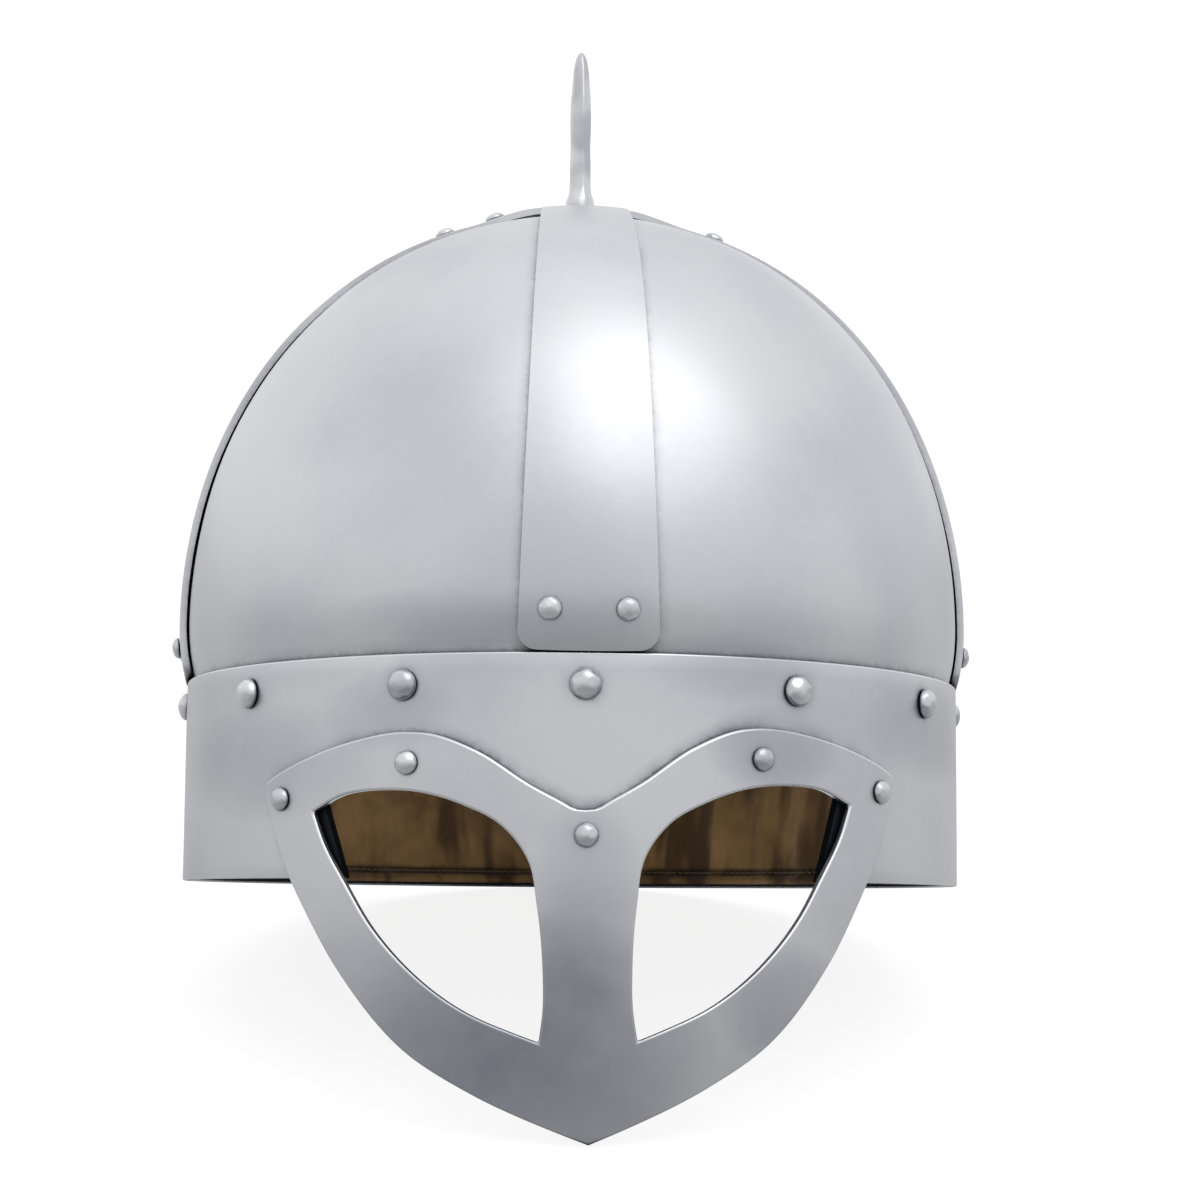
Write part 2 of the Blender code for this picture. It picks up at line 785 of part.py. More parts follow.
def rivet_places(crest, side):
    """(name, point, normal, head and shank sizes, grip) of every rivet."""
    large = (BAND_RIVET_HEAD_RADIUS, BAND_RIVET_HEAD_HEIGHT, BAND_RIVET_SHANK_RADIUS)
    small = (SMALL_RIVET_HEAD_RADIUS, SMALL_RIVET_HEAD_HEIGHT, SMALL_RIVET_SHANK_RADIUS)
    through_band = -LINING_OUTER + LEATHER_WALL
    places = []
    for name, degrees, drop in BAND_RIVETS:
        angle = math.radians(degrees)
        point = on_oval(angle, 0.0, BAND_HEIGHT - drop)
        places.append(("band_rivet_" + name, point, band_normal(angle), large, through_band + pleat(angle) / 2))

    for course, ends in ((crest, ("front", "back")), (side, ("right", "left"))):
        along = course.half - STRAP_RIVET_RISE
        for end, direction in zip(ends, (-1, 1)):
            for hand, sideways in (("a", -STRAP_RIVET_SPREAD / 2), ("b", STRAP_RIVET_SPREAD / 2)):
                point, normal, grip = on_strap(course, direction * along, sideways)
                places.append(("strap_rivet_" + end + "_" + hand, point, normal, small, grip))

    for name, along, across in CROWN_RIVETS:
        point, normal, grip = on_strap(side, along, across)
        places.append(("crown_rivet_" + name, point, normal, small, grip))

    for name, span, height in GUARD_RIVETS:
        arc, rise = canted(*guard_size((span, height)))
        point = beside_band(arc, rise, guard_offset(rise, GUARD_WALL))
        angle = math.atan2(point[0] / BAND_HALF_WIDTH, -point[1] / BAND_HALF_LENGTH)
        grip = GUARD_WALL + FIT_GAP + BAND_WALL
        places.append(("guard_rivet_" + name, point, band_normal(angle), small, grip))
    return places


def make_hole_cutter(places, crown, steel):
    """One rod for each rivet's hole and one for the spike's tang."""
    mesh = bmesh.new()
    rods = [(point, normal, size[2], grip) for _, point, normal, size, grip in places]
    rods.append((crown, (0.0, 0.0, 1.0), SPIKE_SHANK_RADIUS, 2 * STRAP_WALL + FIT_GAP))
    for point, normal, radius, grip in rods:
        profile = (
            (0.0, HOLE_OUTSIDE),
            (radius + FIT_GAP, HOLE_OUTSIDE),
            (radius + FIT_GAP, -grip - HOLE_INSIDE),
            (0.0, -grip - HOLE_INSIDE),
        )
        vertices, faces = turned(profile)
        place = stand_on(point, normal)
        made = [mesh.verts.new(place @ (Vector(vertex) * MM)) for vertex in vertices]
        for face in faces:
            mesh.faces.new([made[corner] for corner in face])
    data = bpy.data.meshes.new("rivet_holes")
    mesh.to_mesh(data)
    mesh.free()
    data.materials.append(steel)
    cutter = bpy.data.objects.new("rivet_holes", data)
    bpy.context.scene.collection.objects.link(cutter)
    return as_cutter(cutter)


# Laying the helmet down


def rest_on_floor(pieces, cutters):
    """Tilts the helmet back on the guard's tip and the rim's rear facet, centred over the origin."""
    guard = next(obj for obj in pieces if obj.name == "face_guard")
    band = next(obj for obj in pieces if obj.name == "brow_band")
    rear = max((vertex.co for vertex in band.data.vertices), key=lambda point: point.y - point.z)
    lean = max(math.atan2(rear.z - vertex.co.z, rear.y - vertex.co.y) for vertex in guard.data.vertices)
    tilt = Matrix.Rotation(-lean, 4, "X")
    corners = [tilt @ (obj.matrix_world @ vertex.co) for obj in pieces for vertex in obj.data.vertices]
    low = [min(corner[axis] for corner in corners) for axis in range(3)]
    high = [max(corner[axis] for corner in corners) for axis in range(3)]
    centre = Vector(((low[0] + high[0]) / 2, (low[1] + high[1]) / 2, low[2]))
    stand = bpy.data.objects.new("helmet_at_rest", None)
    bpy.context.scene.collection.objects.link(stand)
    stand.matrix_world = Matrix.Translation(-centre) @ tilt
    for obj in pieces + cutters:
        obj.parent = stand


def main():
    clear_scene()
    steel = make_material("satin_steel", (0.60, 0.62, 0.65), 1.0, 0.36)
    rivet_steel = make_material("hammered_steel", (0.55, 0.57, 0.60), 1.0, 0.32)
    leather = make_material("suede_leather", (0.30, 0.19, 0.09), 0.0, 0.85)

    crest = StrapCourse((0, -1, 0), (1, 0, 0), BAND_HALF_LENGTH)
    side = StrapCourse((1, 0, 0), (0, 1, 0), BAND_HALF_WIDTH)
    crown = side.lay(0.0, 0.0, STRAP_SEAT + STRAP_WALL + CROSSING_LIFT)
    places = rivet_places(crest, side)

    band = make_brow_band(steel)
    guard = make_guard(steel)
    lining = make_lining(leather)
    plates = [
        make_plate(name, quarter, steel)
        for quarter, name in enumerate(
            ("plate_front_right", "plate_back_right", "plate_back_left", "plate_front_left")
        )
    ]
    straps = [make_strap("crest_strap", crest, False, steel), make_strap("side_strap", side, True, steel)]
    spike = make_spike(crown, steel)
    rivets = [
        make_rivet(name, point, normal, size, grip, rivet_steel) for name, point, normal, size, grip in places
    ]

    holes = make_hole_cutter(places, crown, steel)
    notches = [make_notch_cutter(hand, steel) for hand in (1, -1)]
    for obj in [band, guard, lining] + plates + straps:
        cut_with(obj, holes)
    for notch in notches:
        cut_with(band, notch)
    rest_on_floor([band, guard, lining, spike] + plates + straps + rivets, [holes] + notches)


main()
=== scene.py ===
"""Looks of the spectacle helmet: rolled sheets, hammered rivets, a forged spike, satin steel with grime and
painted shade in its seams, and a suede lining, on a pale floor in soft studio light.

Shapes are worked out upright and in millimetres, with the band's lower rim at height 0 and the face towards
-Y, as the helmet is built. They are then laid down as the frame has the helmet at rest, in metres."""

import json
import math

import bpy
import numpy as np
from mathutils import Matrix, Vector, noise


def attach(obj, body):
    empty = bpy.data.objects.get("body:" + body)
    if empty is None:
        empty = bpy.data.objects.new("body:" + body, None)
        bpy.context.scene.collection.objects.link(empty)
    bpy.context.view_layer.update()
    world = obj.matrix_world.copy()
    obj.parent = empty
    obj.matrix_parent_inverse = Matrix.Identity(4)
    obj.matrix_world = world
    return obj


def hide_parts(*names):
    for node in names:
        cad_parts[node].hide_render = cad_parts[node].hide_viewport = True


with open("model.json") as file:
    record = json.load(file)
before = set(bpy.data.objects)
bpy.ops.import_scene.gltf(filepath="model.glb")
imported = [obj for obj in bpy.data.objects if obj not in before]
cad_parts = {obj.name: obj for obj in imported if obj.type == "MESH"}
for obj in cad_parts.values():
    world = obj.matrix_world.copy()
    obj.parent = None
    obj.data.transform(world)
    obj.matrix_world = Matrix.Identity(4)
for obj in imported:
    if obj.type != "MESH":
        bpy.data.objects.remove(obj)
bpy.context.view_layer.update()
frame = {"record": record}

MM = 0.001

# Places of the Mix node's colour sockets
MIX_COLOR_A = 6
MIX_COLOR_RESULT = 2

# Brow band
BAND_HALF_WIDTH = 104.0
BAND_HALF_LENGTH = 114.0
BAND_HEIGHT = 52.4
BAND_WALL = 2.0
CAD_BAND_FACETS = 72

# Skull plates
PLATE_WALL = 1.6
PLATE_TUCK = 16.0
SPRING_RISE = 15.6
CROWN_RISE = 113.5
CROWN_LEAN = 1.0
ROUNDNESS_IN_PLAN = 2.148
ROUNDNESS_IN_HEIGHT = 2.049
SEAM_GAP = 1.0
CROWN_HOLE_RADIUS = 10.0

# Straps
STRAP_WALL = 2.0
STRAP_END_WIDTH = 32.5
STRAP_CROWN_WIDTH = 19.5
STRAP_CORNER_RADIUS = 4.5
CROSSING_RAMP = 20.0
CROSSING_MARGIN = 0.5

# Face guard
GUARD_WALL = 2.0
GUARD_HALF_SPAN = 87.0
GUARD_BROW_SETBACK = 17.6
GUARD_DROP = 60.2
GUARD_TUCK = 6.0
GUARD_CANT_DEG = 1.1
GUARD_BEND_START = 4.0
NOTCH_MARGIN = 0.8
NOTCH_CORNER_SHARE = 0.778
NOTCH_FOOT_SHARE = 0.698

# Spike
SPIKE_HEIGHT = 46.8
SPIKE_WIDTH = 5.6
SPIKE_FOOT_WIDTH = 8.2
SPIKE_SHANK_RADIUS = 1.8
SPIKE_FLATS = 6
SPIKE_TURN_DEG = 12.0

# Lining
LEATHER_WALL = 1.6
LINING_TOP_RISE = 3.6
LINING_HEM_GAP = 1.2
LINING_SIDE_HEM = 11.0
LINING_FRONT_HEM = 36.0

# Rivets
BAND_RIVET = {"head": 3.7, "height": 3.0, "shank": 2.0}
SMALL_RIVET = {"head": 2.8, "height": 2.0, "shank": 1.5}
TAIL_HEIGHT = 0.9
TAIL_SPREAD = 1.55
STRAP_RIVET_RISE = 9.4
STRAP_RIVET_SPREAD = 17.7
CROWN_RIVETS = (
    # (name, place along the side strap from the crown, place across it towards the back)
    ("left_inner", 23.0, -6.5),
    ("left_outer", 37.0, -6.5),
    ("right_inner", -23.0, 6.5),
    ("right_outer", -37.0, -6.5),
)

# The search for where a line meets the skull
DROP_SEARCH = (-6.0, 60.0)
DROP_HALVINGS = 44

# Clearances
FIT_GAP = 0.3
TAIL_GAP = 0.7
STRAP_SEAT = 0.6
LINING_SEAT = 0.5
STRAP_END_MARGIN = 0.5

# Worked out from the sizes above
SPRING_HEIGHT = BAND_HEIGHT + SPRING_RISE
PLATE_FOOT = BAND_HEIGHT - PLATE_TUCK
STRAP_END_HEIGHT = BAND_HEIGHT + FIT_GAP + STRAP_END_MARGIN
CROSSING_LIFT = STRAP_WALL + FIT_GAP
CROSSING_FLAT = STRAP_CROWN_WIDTH / 2 + FIT_GAP + CROSSING_MARGIN
GUARD_BROW = BAND_HEIGHT - GUARD_BROW_SETBACK
SKULL_DRAW_IN = BAND_WALL + FIT_GAP
LINING_OUTER = -(SKULL_DRAW_IN + PLATE_WALL + LINING_SEAT)
LINING_TOP = BAND_HEIGHT + LINING_TOP_RISE

# The guard's outline, one half of it. Span is a share of the guard's half span, height a share of the brow
# height where it is above the rim and of the drop where it is below.
BROW_LINE = (
    # (span, height), from the notch between the eyes to the outer corner
    (0.000, 0.454),
    (0.022, 0.458),
    (0.070, 0.520),
    (0.138, 0.612),
    (0.297, 0.865),
    (0.430, 0.986),
    (0.517, 1.000),
    (0.649, 0.960),
    (0.818, 0.862),
    (0.965, 0.735),
    (0.990, 0.705),
    (1.000, 0.665),
)
CHEEK_LINE = (
    # (span, height), from the outer corner to the tip
    (1.000, 0.665),
    (0.995, 0.600),
    (0.966, 0.431),
    (0.906, 0.109),
    (0.826, -0.116),
    (0.713, -0.347),
    (0.511, -0.650),
    (0.338, -0.796),
    (0.106, -0.942),
    (0.000, -1.000),
)
EYE_UPPER_LINE = (
    # (span, height), from the lower inner corner up past the nose and over the eye to its outer corner
    (0.134, -0.611),
    (0.122, -0.498),
    (0.120, -0.332),
    (0.133, -0.095),
    (0.156, 0.132),
    (0.230, 0.368),
    (0.331, 0.500),
    (0.448, 0.589),
    (0.575, 0.615),
    (0.690, 0.592),
    (0.799, 0.489),
)
EYE_LOWER_LINE = (
    # (span, height), from the outer corner back to the lower inner corner
    (0.799, 0.489),
    (0.764, 0.293),
    (0.684, -0.005),
    (0.607, -0.164),
    (0.529, -0.287),
    (0.331, -0.497),
    (0.202, -0.575),
    (0.134, -0.611),
)
NOSE_SHARE_OF_EYE_UPPER = 0.44
GUARD_RINGS = 8
# Points of half the guard's outline along the nose, the brow and the cheek
GUARD_STEPS = (26, 52, 60)

BAND_RIVETS = (
    # (name, angle from the front in degrees, drop below the band's top edge)
    ("front", -0.3, 7.4),
    ("front_left_inner", -24.4, 7.4),
    ("front_left_outer", -51.6, 7.2),
    ("side_left", -90.0, 5.4),
    ("back_left_outer", -128.0, 7.2),
    ("back_left_inner", -154.0, 7.4),
    ("back", 180.0, 7.4),
    ("back_right_inner", 154.0, 7.4),
    ("back_right_outer", 128.0, 7.2),
    ("side_right", 90.0, 5.4),
    ("front_right_outer", 56.3, 7.2),
    ("front_right_inner", 28.8, 7.4),
)
GUARD_RIVETS = (
    # (name, span, height), shares as in the guard's outline
    ("left_outer", -0.922, 0.585),
    ("left_brow", -0.490, 0.790),
    ("nose", 0.000, 0.290),
    ("right_brow", 0.496, 0.790),
    ("right_outer", 0.930, 0.585),
)
PLEATS = (
    # (angle from the back in degrees, towards the viewer's right; width in degrees; depth in mm)
    (-48.0, 2.6, 2.6),
    (-39.0, 1.9, 2.2),
    (-29.5, 2.8, 3.0),
    (-21.0, 1.7, 2.4),
    (-15.5, 1.3, 2.2),
    (-9.5, 1.6, 2.6),
    (-4.5, 1.2, 1.8),
    (6.0, 3.2, 1.8),
    (20.0, 3.6, 1.7),
    (34.0, 3.0, 2.0),
    (47.0, 2.4, 2.3),
)
SPIKE_PROFILE = (
    # (share of the half width, share of the height), from the foot to the tip
    (1.45, 0.040),
    (1.30, 0.093),
    (1.16, 0.111),
    (1.05, 0.142),
    (1.00, 0.202),
    (1.00, 0.293),
    (0.96, 0.413),
    (1.00, 0.535),
    (1.00, 0.625),
    (0.95, 0.716),
    (0.86, 0.776),
    (0.80, 0.837),
    (0.70, 0.897),
    (0.56, 0.945),
    (0.40, 0.977),
    (0.20, 0.995),
)
SPIKE_COLLAR = (
    # (cut off the foot's radius, height)
    (0.00, 0.75),
    (0.00, 0.25),
    (0.25, 0.06),
)
SPIKE_TANG = (
    # (radius as a share of the shank's, drop below the straps)
    (1.9, 0.0),
    (1.3, 1.2),
    (0.0, 1.3),
)

# The camera, as the photograph has it to the upright helmet
CAMERA_DISTANCE = 718.6
CAMERA_HEIGHT = -6.6
CAMERA_PITCH_DEG = 6.70
CAMERA_PAN_DEG = -0.60
CAMERA_ROLL_DEG = -0.47
HELMET_YAW_DEG = 1.9
CAMERA_LENS = 78.84
CAMERA_SENSOR = 36.0
CAMERA_NEAR = 0.01

# Handwork: each wave is (size, depth, seed), where the spike's depth is a share of its radius
BAND_WAVE = (30.0, 0.10, 1)
PLATE_WAVE = (34.0, 0.28, 10)
STRAP_WAVE = (26.0, 0.16, 31)
GUARD_WAVE = (22.0, 0.14, 21)
LINING_WAVE = (9.0, 0.35, 4)
RIVET_WAVE = (1.6, 0.06, 40)
SPIKE_WAVE = (5.0, 0.03, 51)
WAVE_SHIFT = (17.3, -9.1, 5.7)
ROW_CROWDING = 1.15
PLATE_CALM_START = 2.0
PLATE_CALM_REACH = 12.0
PLATE_SINK = 0.08
STRAP_SWELL = 0.12
HEAD_SETTLE = 0.22
HEAD_EDGE_SHARE = 0.16
HEAD_FULLNESS = 0.92
HEAD_EDGE = (
    # (share of the head's radius, share of the edge's height)
    (0.985, 0.35),
    (0.930, 0.00),
)
TAIL_PROFILE = (
    # (share of the tail's radius, share of its height), from the shank down
    (1.00, 0.00),
    (0.98, 0.40),
    (0.75, 0.85),
    (0.00, 1.00),
)
RIVET_SIDES = 36
SPIKE_SIDES = 48
BLOWS = 8
BLOW_SPREAD = 0.92
BLOW_TURN = 1.7
BLOW_LIMIT = 0.955
BLOW_LIMIT_SWING = 0.03
BLOW_PHASES = (3.1, 2.3)
BLOW_CLEARANCE = 0.02
BLOW_FORCE = 0.85
SPIKE_FLATS_START = 1.5
SPIKE_FLATS_REACH = 4.0
SPIKE_FLATNESS = 0.75

# The lining's hem and folds
HEM_FRONT_DEG = 52.0
HEM_SIDE_DEG = 100.0
HEM_CHANGE_DEG = 30.0
HEM_FORMS = (
    # (depth inwards, middle above the hem, reach): its roll and its crease
    (1.5, 1.3, 1.2),
    (-1.4, 3.6, 1.0),
)
PLEAT_END = 1.02
PLEAT_FADE = 0.35
PLEAT_LEAN_DEG = 2.2
PLEAT_FOOT_WIDTH = 0.7
PLEAT_OPENING = 0.8
PLEAT_LEAST = 0.55
PLEAT_SWELL = 0.45
PLEAT_BACK_SHARE = 0.6

# Stitches
STITCH_COUNT = 170
STITCH_ARC_DEG = (95.0, 265.0)
STITCH_SHARE = 0.07
STITCH_SINK = 0.35
STITCH_RISE = 3.5
STITCH_SLANT = 0.12
STITCH_HALF_LENGTH = 0.55
STITCH_COURSE = (
    # (place along in half lengths, lift), from end to end
    (-1.6, -0.1),
    (-0.6, 0.28),
    (0.6, 0.28),
    (1.6, -0.1),
)
STITCH_SECTION = (
    # (depth, rise) of the corners
    (0.0, -0.22),
    (0.4, 0.11),
    (0.0, 0.22),
)

# Edges: the angles from which they are sharp or rounded, and the rounding of each sheet's
SHARP_DEG = 35.0
RIVET_SHARP_DEG = 50.0
SPIKE_SHARP_DEG = 55.0
BEVEL_FROM_DEG = 50.0
BEVEL_SEGMENTS = 3
BAND_EDGE = 0.45
PLATE_EDGE = 0.35
STRAP_EDGE = 0.4
GUARD_EDGE = 0.55
LINING_EDGE = 0.5

# Finish: colours are linear red, green and blue
STEEL_LIGHT = (0.676, 0.682, 0.704)
STEEL_DARK = (0.560, 0.572, 0.606)
# Rounded edges: worn steel, lighter partly as a painted highlight
STEEL_WORN_HIGHLIGHT = (0.76, 0.77, 0.785)
RIVET_LIGHT = (0.72, 0.73, 0.75)
RIVET_DARK = (0.48, 0.495, 0.525)
SPIKE_LIGHT = (0.64, 0.65, 0.67)
SPIKE_DARK = (0.44, 0.45, 0.475)
# Bluish painted shade of the patches on the front
STEEL_PATCH_SHADE = (0.215, 0.240, 0.295)
# Painted shade: a halo round corners and rivets. Grime and painted shade: a dark line in the seams.
STEEL_SHADE_HALO = (0.30, 0.315, 0.345)
STEEL_GRIME_AND_SHADE = (0.016, 0.018, 0.024)
# Black residue in the eye corners, and painted shade on the band's inside face
STEEL_RESIDUE_AND_SHADE = (0.020, 0.022, 0.030)
SUEDE_DARK = (0.150, 0.087, 0.037)
SUEDE_LIGHT = (0.430, 0.262, 0.105)
SUEDE_STREAK = (0.330, 0.205, 0.085)
# Painted shade of the suede's folds and creases
SUEDE_FOLD_SHADE = (0.110, 0.064, 0.029)
SUEDE_CREASE_SHADE = (0.022, 0.013, 0.007)
THREAD_DARK = (0.10, 0.07, 0.04)
THREAD_LIGHT = (0.24, 0.18, 0.10)
STEELS = {
    # name: (light tone, dark tone, roughness, bump strength, clouds per metre, painted shade in corners)
    "satin_steel": (STEEL_LIGHT, STEEL_DARK, 0.37, 0.35, 19.0, 0.5),
    # Rounded edges: worn steel with a lighter tone that is partly a painted highlight
    "worn_edge_highlight_steel": (STEEL_WORN_HIGHLIGHT, STEEL_LIGHT, 0.28, 0.35, 19.0, 0.5),
    "band_steel": (STEEL_LIGHT, STEEL_DARK, 0.37, 0.35, 19.0, 0.9),
    "hammered_steel": (RIVET_LIGHT, RIVET_DARK, 0.27, 0.7, 120.0, 0.8),
    "forged_steel": (SPIKE_LIGHT, SPIKE_DARK, 0.24, 0.9, 110.0, 0.5),
}
TEXTURES = {
    # name: (scale per metre, detail, roughness)
    "clouds": (14.0, 1.5, 0.45),
    "scratches": (900.0, 2.0, 0.6),
    "pits": (260.0, 5.0, 0.65),
    "specks": (700.0, 4.0, 0.7),
    "halo": (75.0, 3.0, 0.6),
    "ragged": (500.0, 3.0, 0.6),
    "uneven": (60.0, 3.0, 0.5),
    "blotches": (34.0, 4.0, 0.6),
    "streaks": (160.0, 3.0, 0.6),
    "fold_shade": (95.0, 2.0, 0.5),
    "nap": (1500.0, 2.0, 0.7),
    "strands": (2200.0, 2.0, 0.6),
}
RANGES = {
    # mask: (none of it here, all of it here)
    "pits": (0.66, 0.74),
    "steel_tone": (0.32, 0.64),
    "halo": (0.03, 0.34),
    "halo_patches": (0.30, 0.72),
    "shade_patches_front": (-20.0, -45.0),
    "blotches": (0.32, 0.68),
    "streaks": (0.45, 0.75),
    "fold_shade": (0.36, 0.54),
    "crease_shade": (0.35, 0.95),
}
STEEL_OPEN_SAMPLES = 5
SUEDE_OPEN_SAMPLES = 8
CLOUD_TONE = 0.88
GRAIN_TONE = 0.12
CLOUD_DULLNESS = 0.5
SCRATCH_DULLNESS = 0.5
SCRATCH_SQUEEZE = 0.08
SCRATCH_RELIEF = 0.35
GRAIN_RELIEF = 0.4
PIT_RELIEF = 0.5
DULLNESS_SWING = 0.08
STEEL_RELIEF = 0.1
SUEDE_ROUGHNESS = 0.92
SUEDE_SHEEN = 0.25
SUEDE_SPECULAR = 0.2
SUEDE_BUMP = 0.6
SUEDE_RELIEF = 0.3
STREAK_SQUEEZE = 0.25
FOLD_SHADE_SQUEEZE = 0.16
CREASE_SHADE_REACH = 4.0
THREAD_ROUGHNESS = 0.7
# Reach and strength of the seam grime and painted shade
GRIME_AND_SHADE_REACH = 3.6
GRIME_AND_SHADE_LINE = 0.37
GRIME_AND_SHADE_HARDNESS = 7.0
GRIME_DULLNESS = 0.25
SPECK_SHARE = 0.22
RESIDUE_DULLNESS = 0.08
RESIDUE_RAGGED = 0.012
RESIDUE_EDGE = 0.004
RESIDUE_ARCS = (57.0, 74.0)
RESIDUE_HEIGHT = 20.0
# Painted shade on the band's inside face, within these shares of the oval
SHADED_INSIDE = (0.986, 0.992)
# Patches of painted shade on the front
SHADE_PATCHES = (
    # (middle x, middle z, reach in x, reach in z, strength) on the front of the upright helmet
    (-14.0, -38.0, 46.0, 32.0, 0.66),
    (46.0, -28.0, 17.0, 15.0, 0.42),
    (0.0, -6.0, 15.0, 26.0, 0.34),
    (44.0, 31.0, 17.0, 11.0, 0.40),
    (-76.0, 28.0, 30.0, 15.0, 0.26),
    (-46.0, 39.0, 17.0, 10.0, 0.24),
    (88.0, 38.0, 20.0, 13.0, 0.28),
    (-40.0, 60.0, 30.0, 8.0, 0.18),
    (34.0, 50.0, 22.0, 9.0, 0.22),
)
FLOOR_HALF = 6.0
FLOOR_ROUGHNESS = 0.9
FLOOR_BEHIND = (-0.35, 0.10)
FLOOR_BESIDE = (0.20, 0.60)
FLOOR_GLOW = 0.86
FLOOR_TONE = 0.22
FLOOR_MIRRORED_FRONT = 0.34
FLOOR_MIRRORED_BACK = 0.58
LIGHT_TABLE_RADIUS = 0.085
LIGHT_TABLE_CORE = 0.8
LIGHT_TABLE_GLOW = 0.85

# What the steel mirrors, by the sine of the height it looks to: (sine, brightness)
FRONT_SKY = (
    (-1.00, 0.34),
    (-0.40, 0.36),
    (-0.24, 0.40),
    (-0.10, 0.60),
    (0.00, 0.77),
    (0.10, 0.90),
    (0.35, 0.90),
    (0.60, 1.02),
    (0.85, 1.08),
    (1.00, 1.12),
)
SIDE_SKY = (
    (-1.00, 0.40),
    (-0.40, 0.48),
    (0.00, 0.66),
    (0.30, 0.96),
    (0.60, 0.94),
    (0.85, 1.00),
    (1.00, 1.12),
)
FRONT_SKY_REACH = (0.05, 0.75)
SEEN_SKY = 1.1
SKY_COLOR = (0.985, 0.99, 1.0, 1.0)
KEY_DIRECTION = (0.25, -0.60, 0.77)
KEY_AIM = (0.0, 0.0, 0.12)
KEY_DISTANCE = 2.0
KEY_SIZE = 1.80
KEY_POWER = 6.8


# Laying things down


def rest_matrix():
    """From the upright helmet in millimetres to the frame's resting helmet in metres."""
    rim = next(mount for mount in frame["record"]["mounts"] if mount["name"] == "rim_back")
    tilt = Matrix.Rotation(math.atan2(rim["axis"][1], -rim["axis"][2]), 4, "X")
    half_facet = math.pi / CAD_BAND_FACETS
    rear_middle = Vector((0.0, (BAND_HALF_LENGTH - BAND_WALL / 2) * math.cos(half_facet), 0.0)) * MM
    shift = Vector(rim["pos_m"]) - tilt @ rear_middle
    return Matrix.Translation(shift) @ tilt @ Matrix.Scale(MM, 4)


AT_REST = rest_matrix()


# Small mathematics


def smooth_step(value):
    share = np.clip(value, 0.0, 1.0)
    return share * share * (3.0 - 2.0 * share)


def run_lengths(points):
    """Length along the points, from the first to each."""
    steps = np.linalg.norm(np.diff(points, axis=0), axis=1)
    return np.concatenate([[0.0], np.cumsum(steps)])


def curve_through(points, samples=600):
    """A smooth curve through the given points, as many samples."""
    points = np.asarray(points, float)
    at = run_lengths(points)
    slopes = np.gradient(points, at, axis=0)
    wanted = np.linspace(0.0, at[-1], samples)
    span = np.clip(np.searchsorted(at, wanted, side="right") - 1, 0, len(at) - 2)
    length = (at[span + 1] - at[span])[:, None]
    share = (wanted[:, None] - at[span][:, None]) / length
    start = (1 + 2 * share) * (1 - share) ** 2
    leave = share * (1 - share) ** 2
    end = share**2 * (3 - 2 * share)
    arrive = share**2 * (share - 1)
    return (
        start * points[span]
        + leave * length * slopes[span]
        + end * points[span + 1]
        + arrive * length * slopes[span + 1]
    )


def spaced(curve, shares):
    """Points of a sampled curve at shares of its length."""
    at = run_lengths(curve)
    at /= at[-1]
    return np.stack([np.interp(shares, at, curve[:, axis]) for axis in range(curve.shape[1])], axis=1)


def hand_wave(points, wave, number=0):
    """Slow unevenness left by handwork, one value for each point. Pieces of one kind differ by number."""
    size, depth, seed = wave
    shift = Vector([(seed + number) * step for step in WAVE_SHIFT])
    values = [depth * noise.noise(Vector(point) / size + shift) for point in points.reshape(-1, 3)]
    return np.array(values).reshape(points.shape[:-1])


# Surfaces


def on_oval(angle, offset, height):
    """Points beside the band. The angle runs from the front towards the viewer's right."""
    angle, offset, height = np.broadcast_arrays(angle, offset, height)
    return np.stack(
        [
            (BAND_HALF_WIDTH + offset) * np.sin(angle),
            -(BAND_HALF_LENGTH + offset) * np.cos(angle),
            height.astype(float),
        ],
        axis=-1,
    )


def skull_swell(height):
    """How far the plates' outer face stands outside the band's, at or below the spring line."""
    fall = np.clip((SPRING_HEIGHT - np.asarray(height, float)) / SPRING_RISE, 0.0, 1.0)
    return -SKULL_DRAW_IN * fall**2


def crown_lean(height):
    """How far the skull stands over towards the viewer's right, growing to the crown."""
    rise = np.maximum((np.asarray(height, float) - SPRING_HEIGHT) / CROWN_RISE, 0.0)
    return CROWN_LEAN * rise**2


def skull_level(turn):
    """Plan share and height at a turn of 0 at the spring line to a quarter circle at the crown."""
    plan = np.maximum(np.cos(turn), 0.0) ** (2 / ROUNDNESS_IN_PLAN)
    return plan, SPRING_HEIGHT + CROWN_RISE * np.sin(turn) ** (2 / ROUNDNESS_IN_HEIGHT)


def skull_fault(points):
    """Negative inside the plates' outer face, positive outside it."""
    x, y, z = points[..., 0], points[..., 1], points[..., 2]
    swell = skull_swell(z)
    plan = np.hypot((x - crown_lean(z)) / (BAND_HALF_WIDTH + swell), y / (BAND_HALF_LENGTH + swell))
    rise = np.maximum((z - SPRING_HEIGHT) / CROWN_RISE, 0.0)
    return plan**ROUNDNESS_IN_PLAN + rise**ROUNDNESS_IN_HEIGHT - 1.0


def skull_normal(points):
    reach = 0.05
    slopes = [skull_fault(points + reach * axis) - skull_fault(points - reach * axis) for axis in np.eye(3)]
    normals = np.stack(slopes, axis=-1)
    return normals / np.linalg.norm(normals, axis=-1, keepdims=True)


def drop_onto_skull(starts, inward):
    """The points where lines from outside meet the plates' outer face."""
    low, high = (np.full(starts.shape[:-1], end) for end in DROP_SEARCH)
    for _ in range(DROP_HALVINGS):
        middle = (low + high) / 2
        outside = skull_fault(starts + middle[..., None] * inward) > 0
        low = np.where(outside, middle, low)
        high = np.where(outside, high, middle)
    return starts + low[..., None] * inward


# Building sheets


